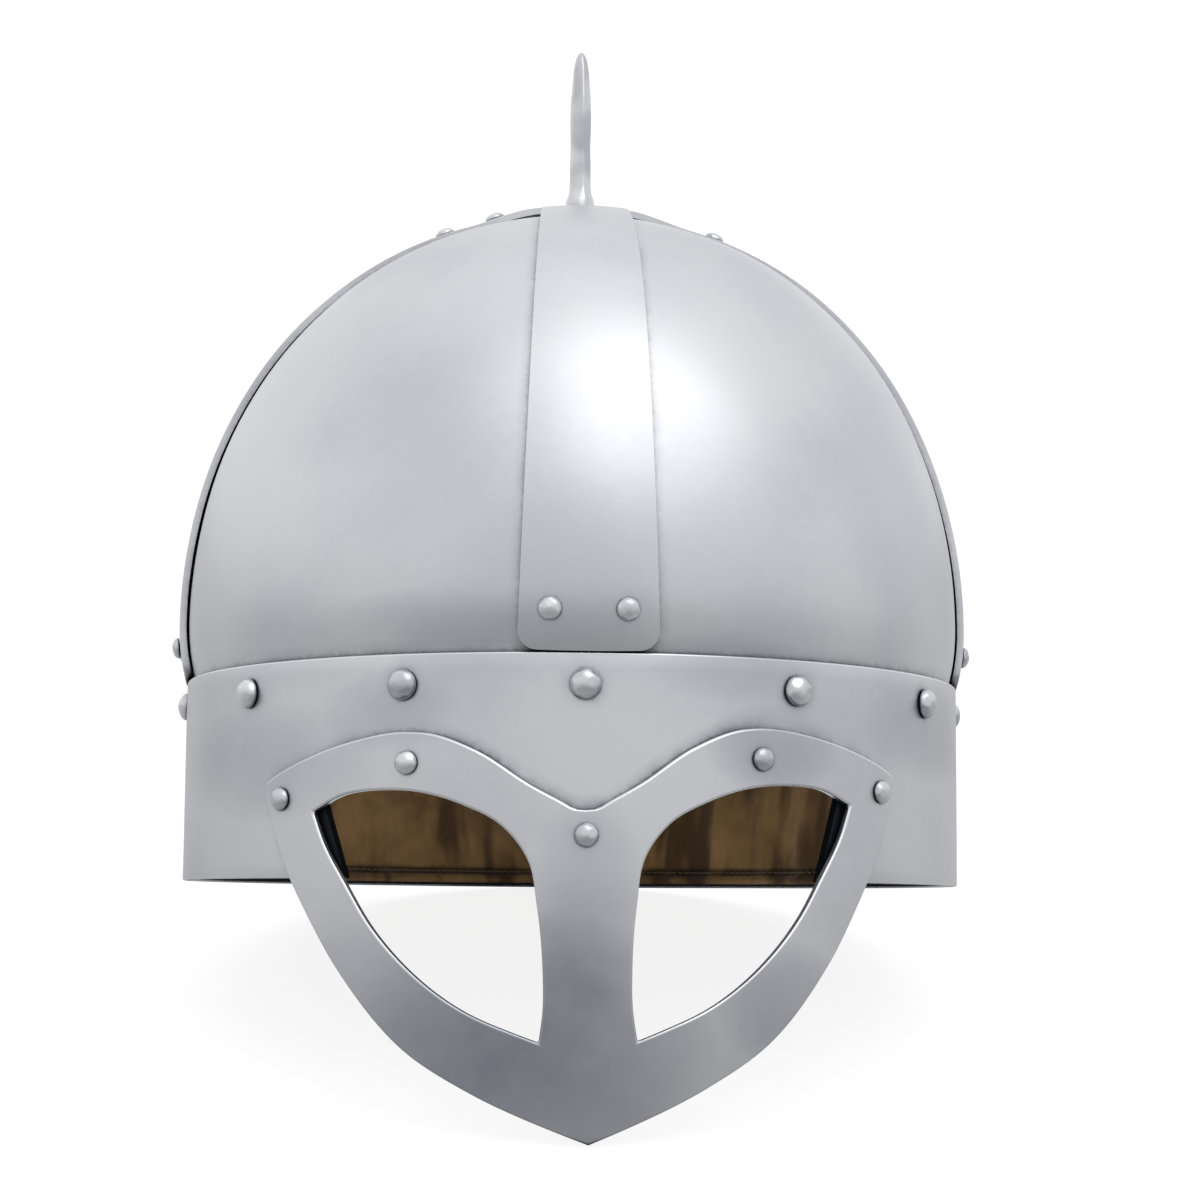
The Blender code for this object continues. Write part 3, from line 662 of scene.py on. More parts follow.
def grid_faces(rows, columns, ring=False):
    """Faces of a grid of points, counter-clockwise with columns to the right and rows up."""
    faces = []
    for row in range(rows - 1):
        for column in range(columns if ring else columns - 1):
            after = (column + 1) % columns
            low, high = row * columns, (row + 1) * columns
            faces.append((low + column, low + after, high + after, high + column))
    return faces


def thicken(outer, inner, faces):
    """Points and faces of the solid between two layers of one pattern."""
    count = len(outer)
    used = {edge for face in faces for edge in zip(face, face[1:] + face[:1])}
    solid = list(faces)
    solid += [tuple(corner + count for corner in reversed(face)) for face in faces]
    solid += [(b, a, a + count, b + count) for a, b in used if (b, a) not in used]
    return np.concatenate([outer, inner]), solid


def add_piece(name, points, faces, materials, sharp_deg=SHARP_DEG):
    """A mesh object, laid down as the helmet rests."""
    mesh = bpy.data.meshes.new(name)
    mesh.from_pydata([tuple(point) for point in points], [], faces)
    mesh.transform(AT_REST)
    mesh.validate()
    for material in materials:
        mesh.materials.append(material)
    mesh.shade_smooth()
    mesh.set_sharp_from_angle(angle=math.radians(sharp_deg))
    piece = bpy.data.objects.new(name, mesh)
    bpy.context.scene.collection.objects.link(piece)
    return piece


def round_edges(piece, width):
    bevel = piece.modifiers.new("rounded_edges", "BEVEL")
    bevel.width = width * MM
    bevel.segments = BEVEL_SEGMENTS
    bevel.limit_method = "ANGLE"
    bevel.angle_limit = math.radians(BEVEL_FROM_DEG)
    bevel.use_clamp_overlap = True
    bevel.harden_normals = False
    bevel.material = len(piece.data.materials) - 1


def stand_for(piece, node):
    """Rides on the helmet's one body, in place of a solid."""
    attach(piece, "root")
    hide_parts(node)


# Node tools


def add_node(tree, kind, **settings):
    node = tree.nodes.new(kind)
    for name, value in settings.items():
        setattr(node, name, value)
    return node


def link(tree, start, end):
    tree.links.new(start, end)


def feed(tree, value, socket):
    """Gives a socket a number or a colour, or links it to another node."""
    if isinstance(value, (int, float)):
        socket.default_value = value
    elif isinstance(value, tuple):
        socket.default_value = (*value, 1.0)
    else:
        link(tree, value, socket)


def math_node(tree, operation, first, second, clamp=False):
    node = add_node(tree, "ShaderNodeMath", operation=operation, use_clamp=clamp)
    feed(tree, first, node.inputs[0])
    feed(tree, second, node.inputs[1])
    return node.outputs[0]


def plus(tree, first, second):
    return math_node(tree, "ADD", first, second)


def less(tree, first, second):
    return math_node(tree, "SUBTRACT", first, second)


def times(tree, first, second):
    return math_node(tree, "MULTIPLY", first, second)


def length_of(tree, first, second):
    """Length of the line with these two sides."""
    squares = [math_node(tree, "POWER", side, 2.0) for side in (first, second)]
    return math_node(tree, "SQRT", plus(tree, *squares), 0.0)


def ramp_between(tree, value, low, high):
    """0 below low and 1 above high, smoothly."""
    node = add_node(tree, "ShaderNodeMapRange", interpolation_type="SMOOTHSTEP")
    link(tree, value, node.inputs["Value"])
    node.inputs["From Min"].default_value = low
    node.inputs["From Max"].default_value = high
    return node.outputs["Result"]


def object_place(tree):
    return add_node(tree, "ShaderNodeTexCoord").outputs["Object"]


def drawn_out(tree, place, squeeze):
    """The place squeezed along Z, so that a texture there is drawn out upwards."""
    node = add_node(tree, "ShaderNodeMapping")
    node.inputs["Scale"].default_value = (1.0, 1.0, squeeze)
    link(tree, place, node.inputs["Vector"])
    return node.outputs["Vector"]


def noise_at(tree, place, texture, scale=None):
    """One of the textures of the table, at its own scale or at a given one."""
    own_scale, detail, roughness = TEXTURES[texture]
    node = add_node(tree, "ShaderNodeTexNoise")
    link(tree, place, node.inputs["Vector"])
    feed(tree, own_scale if scale is None else scale, node.inputs["Scale"])
    node.inputs["Detail"].default_value = detail
    node.inputs["Roughness"].default_value = roughness
    return node.outputs["Fac"]


def mix_colors(tree, share, first, second):
    node = add_node(tree, "ShaderNodeMix", data_type="RGBA")
    link(tree, share, node.inputs["Factor"])
    feed(tree, first, node.inputs[MIX_COLOR_A])
    feed(tree, second, node.inputs[MIX_COLOR_A + 1])
    return node.outputs[MIX_COLOR_RESULT]


def dot_node(tree, place, axis):
    node = add_node(tree, "ShaderNodeVectorMath", operation="DOT_PRODUCT")
    link(tree, place, node.inputs[0])
    node.inputs[1].default_value = axis
    return node.outputs["Value"]


def openness(tree, reach, samples):
    """How open a spot is within a reach in millimetres, from 0 where it is shut to 1."""
    node = add_node(tree, "ShaderNodeAmbientOcclusion", samples=samples)
    node.inputs["Distance"].default_value = reach * MM
    return node.outputs["AO"]


def add_bump(tree, shader, height, strength, depth):
    """Fine relief, with its depth in millimetres."""
    node = add_node(tree, "ShaderNodeBump")
    node.inputs["Strength"].default_value = strength
    node.inputs["Distance"].default_value = depth * MM
    link(tree, height, node.inputs["Height"])
    link(tree, node.outputs["Normal"], shader.inputs["Normal"])


def new_material(name):
    """A material, its node tree and its shader."""
    material = bpy.data.materials.new(name)
    material.use_nodes = True
    return material, material.node_tree, material.node_tree.nodes["Principled BSDF"]


def new_group(name, inputs, outputs):
    """A shader node group with named float inputs and outputs."""
    group = bpy.data.node_groups.new(name, "ShaderNodeTree")
    for socket_name, default in inputs:
        socket = group.interface.new_socket(name=socket_name, in_out="INPUT", socket_type="NodeSocketFloat")
        socket.default_value = default
    for socket_name in outputs:
        group.interface.new_socket(name=socket_name, in_out="OUTPUT", socket_type="NodeSocketFloat")
    return group, add_node(group, "NodeGroupInput"), add_node(group, "NodeGroupOutput")


def satin_group():
    """Hand-rubbed satin steel: clouds in the tone, fine scratches along the piece, and tiny dents."""
    scales = tuple((name, TEXTURES[name.lower()][0]) for name in ("Clouds", "Scratches", "Pits"))
    group, given, made = new_group("rubbed_satin", scales, ("Tone", "Dullness", "Relief"))
    place = object_place(group)
    clouds = noise_at(group, place, "clouds", given.outputs["Clouds"])
    along = drawn_out(group, place, SCRATCH_SQUEEZE)
    scratches = noise_at(group, along, "scratches", given.outputs["Scratches"])
    grain = noise_at(group, place, "pits", given.outputs["Pits"])
    pits = ramp_between(group, grain, *RANGES["pits"])
    tone = plus(group, times(group, clouds, CLOUD_TONE), times(group, grain, GRAIN_TONE))
    link(group, tone, made.inputs["Tone"])
    dullness = plus(group, times(group, scratches, SCRATCH_DULLNESS), times(group, clouds, CLOUD_DULLNESS))
    link(group, dullness, made.inputs["Dullness"])
    raised = plus(group, times(group, scratches, SCRATCH_RELIEF), times(group, grain, GRAIN_RELIEF))
    link(group, less(group, raised, times(group, pits, PIT_RELIEF)), made.inputs["Relief"])
    return group


def grime_and_shade_group():
    """Polish grime and painted shade in corners, from how open a spot is: a broken dark line of grime and
    painted shade, and a halo of painted shade round it.
    """
    group, given, made = new_group(
        "seam_grime_and_shade",
        (("Openness", 1.0), ("Line", GRIME_AND_SHADE_LINE), ("Smoke", 0.5)),
        ("Line", "Halo"),
    )
    place = object_place(group)
    shut = less(group, 1.0, given.outputs["Openness"])
    specks = less(group, noise_at(group, place, "specks"), 0.5)
    over = less(group, plus(group, shut, times(group, specks, SPECK_SHARE)), given.outputs["Line"])
    link(group, math_node(group, "MULTIPLY", over, GRIME_AND_SHADE_HARDNESS, clamp=True), made.inputs["Line"])
    patches = ramp_between(group, noise_at(group, place, "halo"), *RANGES["halo_patches"])
    corner_shade = times(group, ramp_between(group, shut, *RANGES["halo"]), given.outputs["Smoke"])
    link(group, math_node(group, "MULTIPLY", corner_shade, patches, clamp=True), made.inputs["Halo"])
    return group


def upright_place(group, place):
    """The upright helmet's x, y and z in millimetres, of a place in the resting helmet."""
    upright = AT_REST.inverted()
    return [plus(group, dot_node(group, place, row[:3]), row[3]) for row in list(upright)[:3]]


def residue_and_shade_group():
    """The band's black parts, as a mask: residue in the corners behind the guard's eye openings, and painted
    shade over the whole inside face.
    """
    group, _, made = new_group("eye_corner_residue_and_inside_shade", (), ("Mask",))
    place = object_place(group)
    rows = upright_place(group, place)
    across = math_node(group, "DIVIDE", math_node(group, "ABSOLUTE", rows[0], 0.0), BAND_HALF_WIDTH)
    ahead = math_node(group, "DIVIDE", rows[1], -BAND_HALF_LENGTH)
    angle = math_node(group, "ARCTAN2", across, ahead)
    near, far = (float(np.interp(arc, ARC_LENGTHS, ARC_ANGLES)) for arc in RESIDUE_ARCS)
    ragged = times(group, noise_at(group, place, "ragged"), RESIDUE_RAGGED)
    inside = ramp_between(group, plus(group, angle, ragged), near, near + RESIDUE_EDGE)
    outside = ramp_between(group, angle, far, far + RESIDUE_EDGE)
    above = ramp_between(group, rows[2], RESIDUE_HEIGHT, RESIDUE_HEIGHT + 1.0)
    shown = times(group, less(group, inside, outside), less(group, 1.0, above))
    inside_shade = less(group, 1.0, ramp_between(group, length_of(group, across, ahead), *SHADED_INSIDE))
    link(group, math_node(group, "MAXIMUM", shown, inside_shade), made.inputs["Mask"])
    return group


def patches_group():
    """Soft bluish painted shade in a few places on the front, as a mask."""
    group, _, made = new_group("painted_shade_patches", (), ("Mask",))
    place = object_place(group)
    rows = upright_place(group, place)
    total = 0.0
    for middle_x, middle_z, reach_x, reach_z, strength in SHADE_PATCHES:
        shares = []
        for row, middle, reach in ((rows[0], middle_x, reach_x), (rows[2], middle_z, reach_z)):
            share = math_node(group, "DIVIDE", less(group, row, middle), reach)
            shares.append(math_node(group, "POWER", share, 2.0))
        near = math_node(group, "SUBTRACT", 1.0, plus(group, *shares), clamp=True)
        total = plus(group, times(group, near, strength), total)
    front = ramp_between(group, rows[1], *RANGES["shade_patches_front"])
    uneven = plus(group, noise_at(group, place, "uneven"), 0.5)
    mask = math_node(group, "MULTIPLY", times(group, total, front), uneven, clamp=True)
    link(group, mask, made.inputs["Mask"])
    return group


def place_group(tree, group, **values):
    node = add_node(tree, "ShaderNodeGroup", node_tree=group)
    for socket, value in values.items():
        feed(tree, value, node.inputs[socket])
    return node


def steel_material(name, groups, light, dark, rough, relief, clouds, corner_shade):
    """Satin steel between a light and a dark tone, with grime and painted shade in its corners."""
    material, tree, shader = new_material(name)
    satin = place_group(tree, groups["satin"], Clouds=clouds)
    open_share = openness(tree, GRIME_AND_SHADE_REACH, STEEL_OPEN_SAMPLES)
    grime_and_shade = place_group(tree, groups["grime_and_shade"], Openness=open_share, Smoke=corner_shade)
    tone = ramp_between(tree, satin.outputs["Tone"], *RANGES["steel_tone"])
    color = mix_colors(tree, tone, dark, light)
    patches = place_group(tree, groups["patches"]).outputs["Mask"]
    # Painted shade in patches on the front
    color = mix_colors(tree, patches, color, STEEL_PATCH_SHADE)
    # Painted shade: a halo that darkens the steel round corners and rivets, where a spot is shut
    color = mix_colors(tree, grime_and_shade.outputs["Halo"], color, STEEL_SHADE_HALO)
    # Grime and painted shade: a broken dark line in the seams
    color = mix_colors(tree, grime_and_shade.outputs["Line"], color, STEEL_GRIME_AND_SHADE)
    dull = plus(tree, times(tree, satin.outputs["Dullness"], 2 * DULLNESS_SWING), rough - DULLNESS_SWING)
    dull = plus(tree, dull, times(tree, grime_and_shade.outputs["Line"], GRIME_DULLNESS))
    # Only the band holds the black residue, and the painted shade on its inside
    if name == "band_steel":
        mask = place_group(tree, groups["residue_and_shade"]).outputs["Mask"]
        color = mix_colors(tree, mask, color, STEEL_RESIDUE_AND_SHADE)
        dull = plus(tree, dull, times(tree, mask, RESIDUE_DULLNESS))
    link(tree, color, shader.inputs["Base Color"])
    shader.inputs["Metallic"].default_value = 1.0
    link(tree, dull, shader.inputs["Roughness"])
    add_bump(tree, shader, satin.outputs["Relief"], relief, STEEL_RELIEF)
    return material


def suede_material():
    """Brown suede: mottled nap, with painted shade in its folds and creases, matt."""
    material, tree, shader = new_material("brown_suede")
    place = object_place(tree)
    streaks = noise_at(tree, drawn_out(tree, place, STREAK_SQUEEZE), "streaks")
    fold_shade = noise_at(tree, drawn_out(tree, place, FOLD_SHADE_SQUEEZE), "fold_shade")
    nap = noise_at(tree, place, "nap")
    blotches = ramp_between(tree, noise_at(tree, place, "blotches"), *RANGES["blotches"])
    color = mix_colors(tree, blotches, SUEDE_DARK, SUEDE_LIGHT)
    color = mix_colors(tree, ramp_between(tree, streaks, *RANGES["streaks"]), color, SUEDE_STREAK)
    # Painted shade in drawn-out bands, standing for the shade of folds
    color = mix_colors(tree, ramp_between(tree, fold_shade, *RANGES["fold_shade"]), SUEDE_FOLD_SHADE, color)
    # Painted shade in creases, darker where a spot is shut
    shut = ramp_between(tree, openness(tree, CREASE_SHADE_REACH, SUEDE_OPEN_SAMPLES), *RANGES["crease_shade"])
    color = mix_colors(tree, shut, SUEDE_CREASE_SHADE, color)
    link(tree, color, shader.inputs["Base Color"])
    shader.inputs["Roughness"].default_value = SUEDE_ROUGHNESS
    shader.inputs["Sheen Weight"].default_value = SUEDE_SHEEN
    shader.inputs["Specular IOR Level"].default_value = SUEDE_SPECULAR
    add_bump(tree, shader, plus(tree, times(tree, nap, 0.5), streaks), SUEDE_BUMP, SUEDE_RELIEF)
    return material


def waxed_thread():
    material, tree, shader = new_material("waxed_thread")
    strands = noise_at(tree, object_place(tree), "strands")
    link(tree, mix_colors(tree, strands, THREAD_DARK, THREAD_LIGHT), shader.inputs["Base Color"])
    shader.inputs["Roughness"].default_value = THREAD_ROUGHNESS
    return material


# Brow band, plates and lining


def ring_angles(steps):
    return (np.arange(steps) + 0.5) * 2 * math.pi / steps


def sheet_between(name, outer, inner, faces, materials, edge):
    piece = add_piece(name, *thicken(outer.reshape(-1, 3), inner.reshape(-1, 3), faces), materials)
    round_edges(piece, edge)
    return piece


def make_brow_band(steel):
    steps, rows = 288, 15
    angle = ring_angles(steps)[None, :]
    height = np.linspace(0.0, BAND_HEIGHT, rows)[:, None]
    wave = hand_wave(on_oval(angle, 0.0, height), BAND_WAVE) - BAND_WAVE[1] / 2
    outer = on_oval(angle, wave, height)
    inner = on_oval(angle, wave - BAND_WALL, height)
    faces = grid_faces(rows, steps, ring=True)
    band = sheet_between("brow_band_sheet", outer, inner, faces, steel, BAND_EDGE)
    cutters = [make_notch_cutter(side, steel) for side in (1, -1)]
    for cutter in cutters:
        boolean = band.modifiers.new("eye_notch", "BOOLEAN")
        boolean.object = cutter
        boolean.operation = "DIFFERENCE"
        boolean.solver = "EXACT"
    apply_modifiers(band)
    for cutter in cutters:
        bpy.data.objects.remove(cutter, do_unlink=True)
    band.data.set_sharp_from_angle(angle=math.radians(SHARP_DEG))
    stand_for(band, "brow_band")


def apply_modifiers(piece):
    graph = bpy.context.evaluated_depsgraph_get()
    mesh = bpy.data.meshes.new_from_object(piece.evaluated_get(graph))
    piece.modifiers.clear()
    piece.data = mesh


def lining_hem(angle):
    """Height of the lining's lower edge: low at the back, higher at the sides, above the eyes in front."""
    from_front = np.degrees(np.abs((angle + math.pi) % (2 * math.pi) - math.pi))
    front_to_side = smooth_step((from_front - HEM_FRONT_DEG) / HEM_CHANGE_DEG)
    side_to_back = smooth_step((from_front - HEM_SIDE_DEG) / HEM_CHANGE_DEG)
    hem = LINING_FRONT_HEM + (LINING_SIDE_HEM - LINING_FRONT_HEM) * front_to_side
    return hem + (LINING_HEM_GAP - LINING_SIDE_HEM) * side_to_back


def pleat_depth(from_back, share):
    """How far the leather gathers inwards: folds that open out and lean as they rise."""
    total = np.zeros_like(from_back)
    for place, width, depth in PLEATS:
        lean = PLEAT_LEAN_DEG * share * math.copysign(1.0, place)
        opened = width * (PLEAT_FOOT_WIDTH + PLEAT_OPENING * share)
        across = (np.degrees(from_back) - place - lean) / opened
        fullness = PLEAT_LEAST + PLEAT_SWELL * np.sin(math.pi * np.clip(share * 1.1 + 0.15, 0, 1))
        total += depth * np.exp(-(across**2)) * fullness
    return total


def make_lining(suede):
    steps, rows = 540, 34
    angle = np.broadcast_to(ring_angles(steps)[None, :], (rows, steps))
    share = np.broadcast_to(np.linspace(0.0, 1.0, rows)[:, None] ** ROW_CROWDING, (rows, steps))
    hem = lining_hem(angle)
    height = hem + (LINING_TOP - hem) * share
    from_back = (angle % (2 * math.pi)) - math.pi
    gather = pleat_depth(from_back, share) * smooth_step((PLEAT_END - share) / PLEAT_FADE)
    soft = hand_wave(on_oval(angle, 0.0, height), LINING_WAVE)
    inner_offset = LINING_OUTER - LEATHER_WALL - gather - np.abs(soft)
    for depth, middle, reach in HEM_FORMS:
        inner_offset = inner_offset - depth * np.exp(-(((height - hem - middle) / reach) ** 2))
    outer = on_oval(angle, LINING_OUTER - PLEAT_BACK_SHARE * gather, height)
    inner = on_oval(angle, inner_offset, height)
    faces = grid_faces(rows, steps, ring=True)
    lining = sheet_between("suede_lining", outer, inner, faces, suede, LINING_EDGE)
    stand_for(lining, "lining")


def make_stitches(thread):
    """A row of small slanted stitches along the hem, seen from inside."""
    corners = len(STITCH_SECTION)
    points, faces = [], []
    for angle in np.linspace(*np.radians(STITCH_ARC_DEG), STITCH_COUNT):
        hem = float(lining_hem(np.array(angle)))
        gather = float(pleat_depth(np.array(angle - math.pi), np.array(STITCH_SHARE)))
        offset = LINING_OUTER - LEATHER_WALL - gather - STITCH_SINK
        start = len(points)
        for end, lift in STITCH_COURSE:
            turn = angle + end * (STITCH_HALF_LENGTH / BAND_HALF_LENGTH)
            height = hem + STITCH_RISE + end * STITCH_SLANT
            points += [on_oval(turn, offset - lift + depth, height + rise) for depth, rise in STITCH_SECTION]
        for low in range(start, len(points) - corners, corners):
            for corner in range(corners):
                after = (corner + 1) % corners
                faces.append((low + corner, low + corners + corner, low + corners + after, low + after))
        faces.append(tuple(range(start, start + corners)))
        faces.append(tuple(reversed(range(len(points) - corners, len(points)))))
    stitches = add_piece("hem_stitches", np.array(points), faces, thread)
    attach(stitches, "root")


def make_plate(node, quarter, steel):
    """One of the four plates: quarter 0 runs from the front to the viewer's right, and so on round."""
    columns, rows_low, rows_high = 48, 12, 46
    low_heights = np.linspace(PLATE_FOOT, SPRING_HEIGHT, rows_low, endpoint=False)
    last = math.acos((CROWN_HOLE_RADIUS / BAND_HALF_WIDTH) ** (ROUNDNESS_IN_PLAN / 2))
    turns = last * np.linspace(0.0, 1.0, rows_high) ** ROW_CROWDING
    plan_high, height_high = skull_level(turns)
    plan = np.concatenate([np.ones(rows_low), plan_high])[:, None]
    height = np.concatenate([low_heights, height_high])[:, None]
    swell = skull_swell(height)
    width = plan * (BAND_HALF_WIDTH + swell)
    margin = np.arcsin(SEAM_GAP / 2 / width)
    share = np.linspace(0.0, 1.0, columns + 1)[None, :]
    angle = quarter * math.pi / 2 + margin + (math.pi / 2 - 2 * margin) * share
    outer = np.stack(
        [
            width * np.sin(angle) + crown_lean(height),
            -plan * (BAND_HALF_LENGTH + swell) * np.cos(angle),
            height + 0 * angle,
        ],
        axis=-1,
    )
    rows = len(height)
    normal = skull_normal(outer)
    calm = smooth_step((height - BAND_HEIGHT - PLATE_CALM_START) / PLATE_CALM_REACH)
    wave = hand_wave(outer, PLATE_WAVE, quarter) * calm
    outer = outer + (wave - PLATE_SINK * calm)[..., None] * normal
    inner = outer - PLATE_WALL * normal
    piece = sheet_between(node + "_sheet", outer, inner, grid_faces(rows, columns + 1), steel, PLATE_EDGE)
    stand_for(piece, node)


# Straps


class StrapCourse:
    """The line that a strap follows over the skull, from one end over the crown to the other."""

    def __init__(self, ahead, across, half_length):
        self.ahead = np.array(ahead, float)
        self.across = np.array(across, float)
        low = np.linspace(STRAP_END_HEIGHT, SPRING_HEIGHT, 20, endpoint=False)
        plan, high = skull_level(np.linspace(0.0, math.pi / 2, 800))
        reach = np.concatenate([half_length + skull_swell(low), plan * half_length])
        self.side = np.stack([reach, np.concatenate([low, high])], axis=1)
        self.at = run_lengths(self.side)
        self.half = self.at[-1]

    def spine(self, along):
        from_end = self.half - np.abs(along)
        reach = np.interp(from_end, self.at, self.side[:, 0])
        height = np.interp(from_end, self.at, self.side[:, 1])
        sign = np.where(along > 0, -1.0, 1.0)
        centre = (sign * reach)[..., None] * self.ahead + height[..., None] * np.array([0.0, 0.0, 1.0])
        return centre + crown_lean(height)[..., None] * np.array([1.0, 0.0, 0.0])

    def on_skull(self, along, sideways):
        along, sideways = np.broadcast_arrays(np.asarray(along, float), np.asarray(sideways, float))
        centre = self.spine(along)
        inward = -skull_normal(centre)
        point = drop_onto_skull(centre + sideways[..., None] * self.across, inward)
        return point, skull_normal(point)

    def lay(self, along, sideways, depth):
        point, normal = self.on_skull(along, sideways)
        return point + np.asarray(depth)[..., None] * normal


def crossing_lift(along):
    """The side strap rides over the crest strap at the crown."""
    return CROSSING_LIFT * smooth_step((CROSSING_FLAT + CROSSING_RAMP - np.abs(along)) / CROSSING_RAMP)


def strap_half_width(course, along):
    from_end = course.half - np.abs(along)
    half = (STRAP_END_WIDTH + (STRAP_CROWN_WIDTH - STRAP_END_WIDTH) * from_end / course.half) / 2
    rest = np.clip(STRAP_CORNER_RADIUS - from_end, 0.0, STRAP_CORNER_RADIUS)
    return half - (STRAP_CORNER_RADIUS - np.sqrt(STRAP_CORNER_RADIUS**2 - rest**2))


def make_strap(node, course, crossing, steel):
    corner = STRAP_CORNER_RADIUS * (1 - np.cos(np.radians(np.linspace(0, 90, 9))))
    middle = np.linspace(course.half - STRAP_CORNER_RADIUS, 0.0, 90)[1:]
    right = np.concatenate([course.half - corner, middle])
    along = np.concatenate([-right, right[:-1][::-1]])[:, None]
    share = np.linspace(-1.0, 1.0, 15)[None, :]
    sideways = strap_half_width(course, along) * share
    point, normal = course.on_skull(along, sideways)
    lift = (STRAP_SEAT + (crossing_lift(along) if crossing else 0.0)) * np.ones_like(sideways)
    wave = hand_wave(point, STRAP_WAVE, int(crossing))
    swell = -STRAP_SWELL * share**2
    inner = point + (lift + wave)[..., None] * normal
    outer = point + (lift + wave + STRAP_WALL + swell)[..., None] * normal
    piece = sheet_between(node + "_sheet", outer, inner, grid_faces(*sideways.shape), steel, STRAP_EDGE)
    stand_for(piece, node)


# Face guard


def arc_table():
    """Length along the guard's outer face from the front, for angles up to the sides."""
    angles = np.linspace(0.0, math.pi / 2, 500)
    reach = FIT_GAP + GUARD_WALL
    speed = np.hypot(
        (BAND_HALF_WIDTH + reach) * np.cos(angles), (BAND_HALF_LENGTH + reach) * np.sin(angles)
    )
    lengths = np.concatenate([[0.0], np.cumsum((speed[1:] + speed[:-1]) / 2 * np.diff(angles))])
    return angles, lengths


ARC_ANGLES, ARC_LENGTHS = arc_table()


def guard_sizes(rows):
    """Rows of the outline tables as lengths: arc from the front and height from the rim."""
    return [(span * GUARD_HALF_SPAN, rise * (GUARD_BROW if rise > 0 else GUARD_DROP)) for span, rise in rows]


def canted(points):
    """The guard is riveted on a little askew."""
    turn = math.radians(GUARD_CANT_DEG)
    arc, height = points[..., 0], points[..., 1]
    level, rise = math.cos(turn), math.sin(turn)
    return np.stack([arc * level - height * rise, arc * rise + height * level], axis=-1)


def beside_band(points, offset):
    """Points at an arc length from the front, at an offset outside the band's outer face."""
    arc, height = points[..., 0], points[..., 1]
    angle = np.sign(arc) * np.interp(np.abs(arc), ARC_LENGTHS, ARC_ANGLES)
    return on_oval(angle, offset, height)


def guard_offset(height, depth):
    """Depth 0 is the guard's inner face. Below the rim the guard bends in towards the face."""
    bend = np.maximum((GUARD_BEND_START - height) / (GUARD_BEND_START + GUARD_DROP), 0.0)
    return FIT_GAP + depth - GUARD_TUCK * bend**2


def lay_guard(points, depth):
    points = canted(np.asarray(points, float))
    return beside_band(points, guard_offset(points[..., 1], depth))


def guard_loops():
    """Matching outline and eye points of one half, from the tip by way of the notch and the corner."""
    lines = (BROW_LINE, CHEEK_LINE, EYE_UPPER_LINE, EYE_LOWER_LINE)
    brow, cheek, eye_upper, eye_lower = (curve_through(guard_sizes(rows)) for rows in lines)
    nose = np.array([cheek[-1], brow[0]])
    sides = [np.linspace(0, 1, steps, endpoint=False) for steps in GUARD_STEPS]
    outline = np.concatenate([spaced(curve, shares) for curve, shares in zip((nose, brow, cheek), sides)])
    nose_shares, brow_shares, cheek_shares = sides
    over_eye = NOSE_SHARE_OF_EYE_UPPER + (1 - NOSE_SHARE_OF_EYE_UPPER) * brow_shares
    eye = np.concatenate(
        [
            spaced(eye_upper, NOSE_SHARE_OF_EYE_UPPER * nose_shares),
            spaced(eye_upper, over_eye),
            spaced(eye_lower, cheek_shares),
        ]
    )
    return outline, eye


def guard_pattern():
    """Flat points and faces of the whole guard. The halves share the points on the centre line."""
    outline, eye = guard_loops()
    count = len(outline)
    points, faces, index = [], [], {}

    def number(point):
        key = (round(point[0], 4), round(point[1], 4))
        if key not in index:
            index[key] = len(points)
            points.append(point)
        return index[key]

    for side in (1, -1):
        loops = []
        for ring in range(GUARD_RINGS + 1):
            loop = outline + (eye - outline) * ring / GUARD_RINGS
            loops.append([number((side * arc, height)) for arc, height in loop])
        for near, far in zip(loops, loops[1:]):
            for here in range(count):
                there = (here + 1) % count
                face = (near[here], far[here], far[there], near[there])
                faces.append(face if side < 0 else face[::-1])
    return np.array(points), faces


def make_guard(steel):
    points, faces = guard_pattern()
    middle = lay_guard(points, GUARD_WALL)
    wave = hand_wave(middle, GUARD_WAVE)
    outer = lay_guard(points, GUARD_WALL - GUARD_WAVE[1] / 2 + wave)
    inner = lay_guard(points, np.maximum(wave, 0.0))
    piece = sheet_between("face_guard_sheet", outer, inner, faces, steel, GUARD_EDGE)
    stand_for(piece, "face_guard")


def make_notch_cutter(side, steel):
    """Cuts the band away behind one eye opening, open at the rim."""
    eye = curve_through(guard_sizes(EYE_UPPER_LINE))
    slope = np.gradient(eye, axis=0)
    outward = np.stack([-slope[:, 1], slope[:, 0]], axis=1)
    outward /= np.linalg.norm(outward, axis=1)[:, None]
    raised = eye + NOTCH_MARGIN * outward
    corner = NOTCH_CORNER_SHARE * GUARD_HALF_SPAN
    foot = NOTCH_FOOT_SHARE * GUARD_HALF_SPAN
    over = raised[(raised[:, 1] > 2.0) & (raised[:, 0] < corner)]
    over = spaced(over, np.linspace(0, 1, 40))
    below = -6.0
    slant = (corner - foot) / over[-1][1]
    sill = np.linspace(over[0][0], foot + slant * below, len(over))
    low_row = np.stack([side * sill, np.full(len(over), below)], axis=1)
    high_row = np.stack([side * over[:, 0], over[:, 1]], axis=1)
    points = canted(np.concatenate([low_row, high_row]))
    faces = grid_faces(2, len(over))
    if side < 0:
        faces = [face[::-1] for face in faces]
    solid = thicken(beside_band(points, 3.0), beside_band(points, -BAND_WALL - 3.0), faces)
    return add_piece("notch_cutter_" + ("right" if side > 0 else "left"), *solid, steel)


# Turned pieces


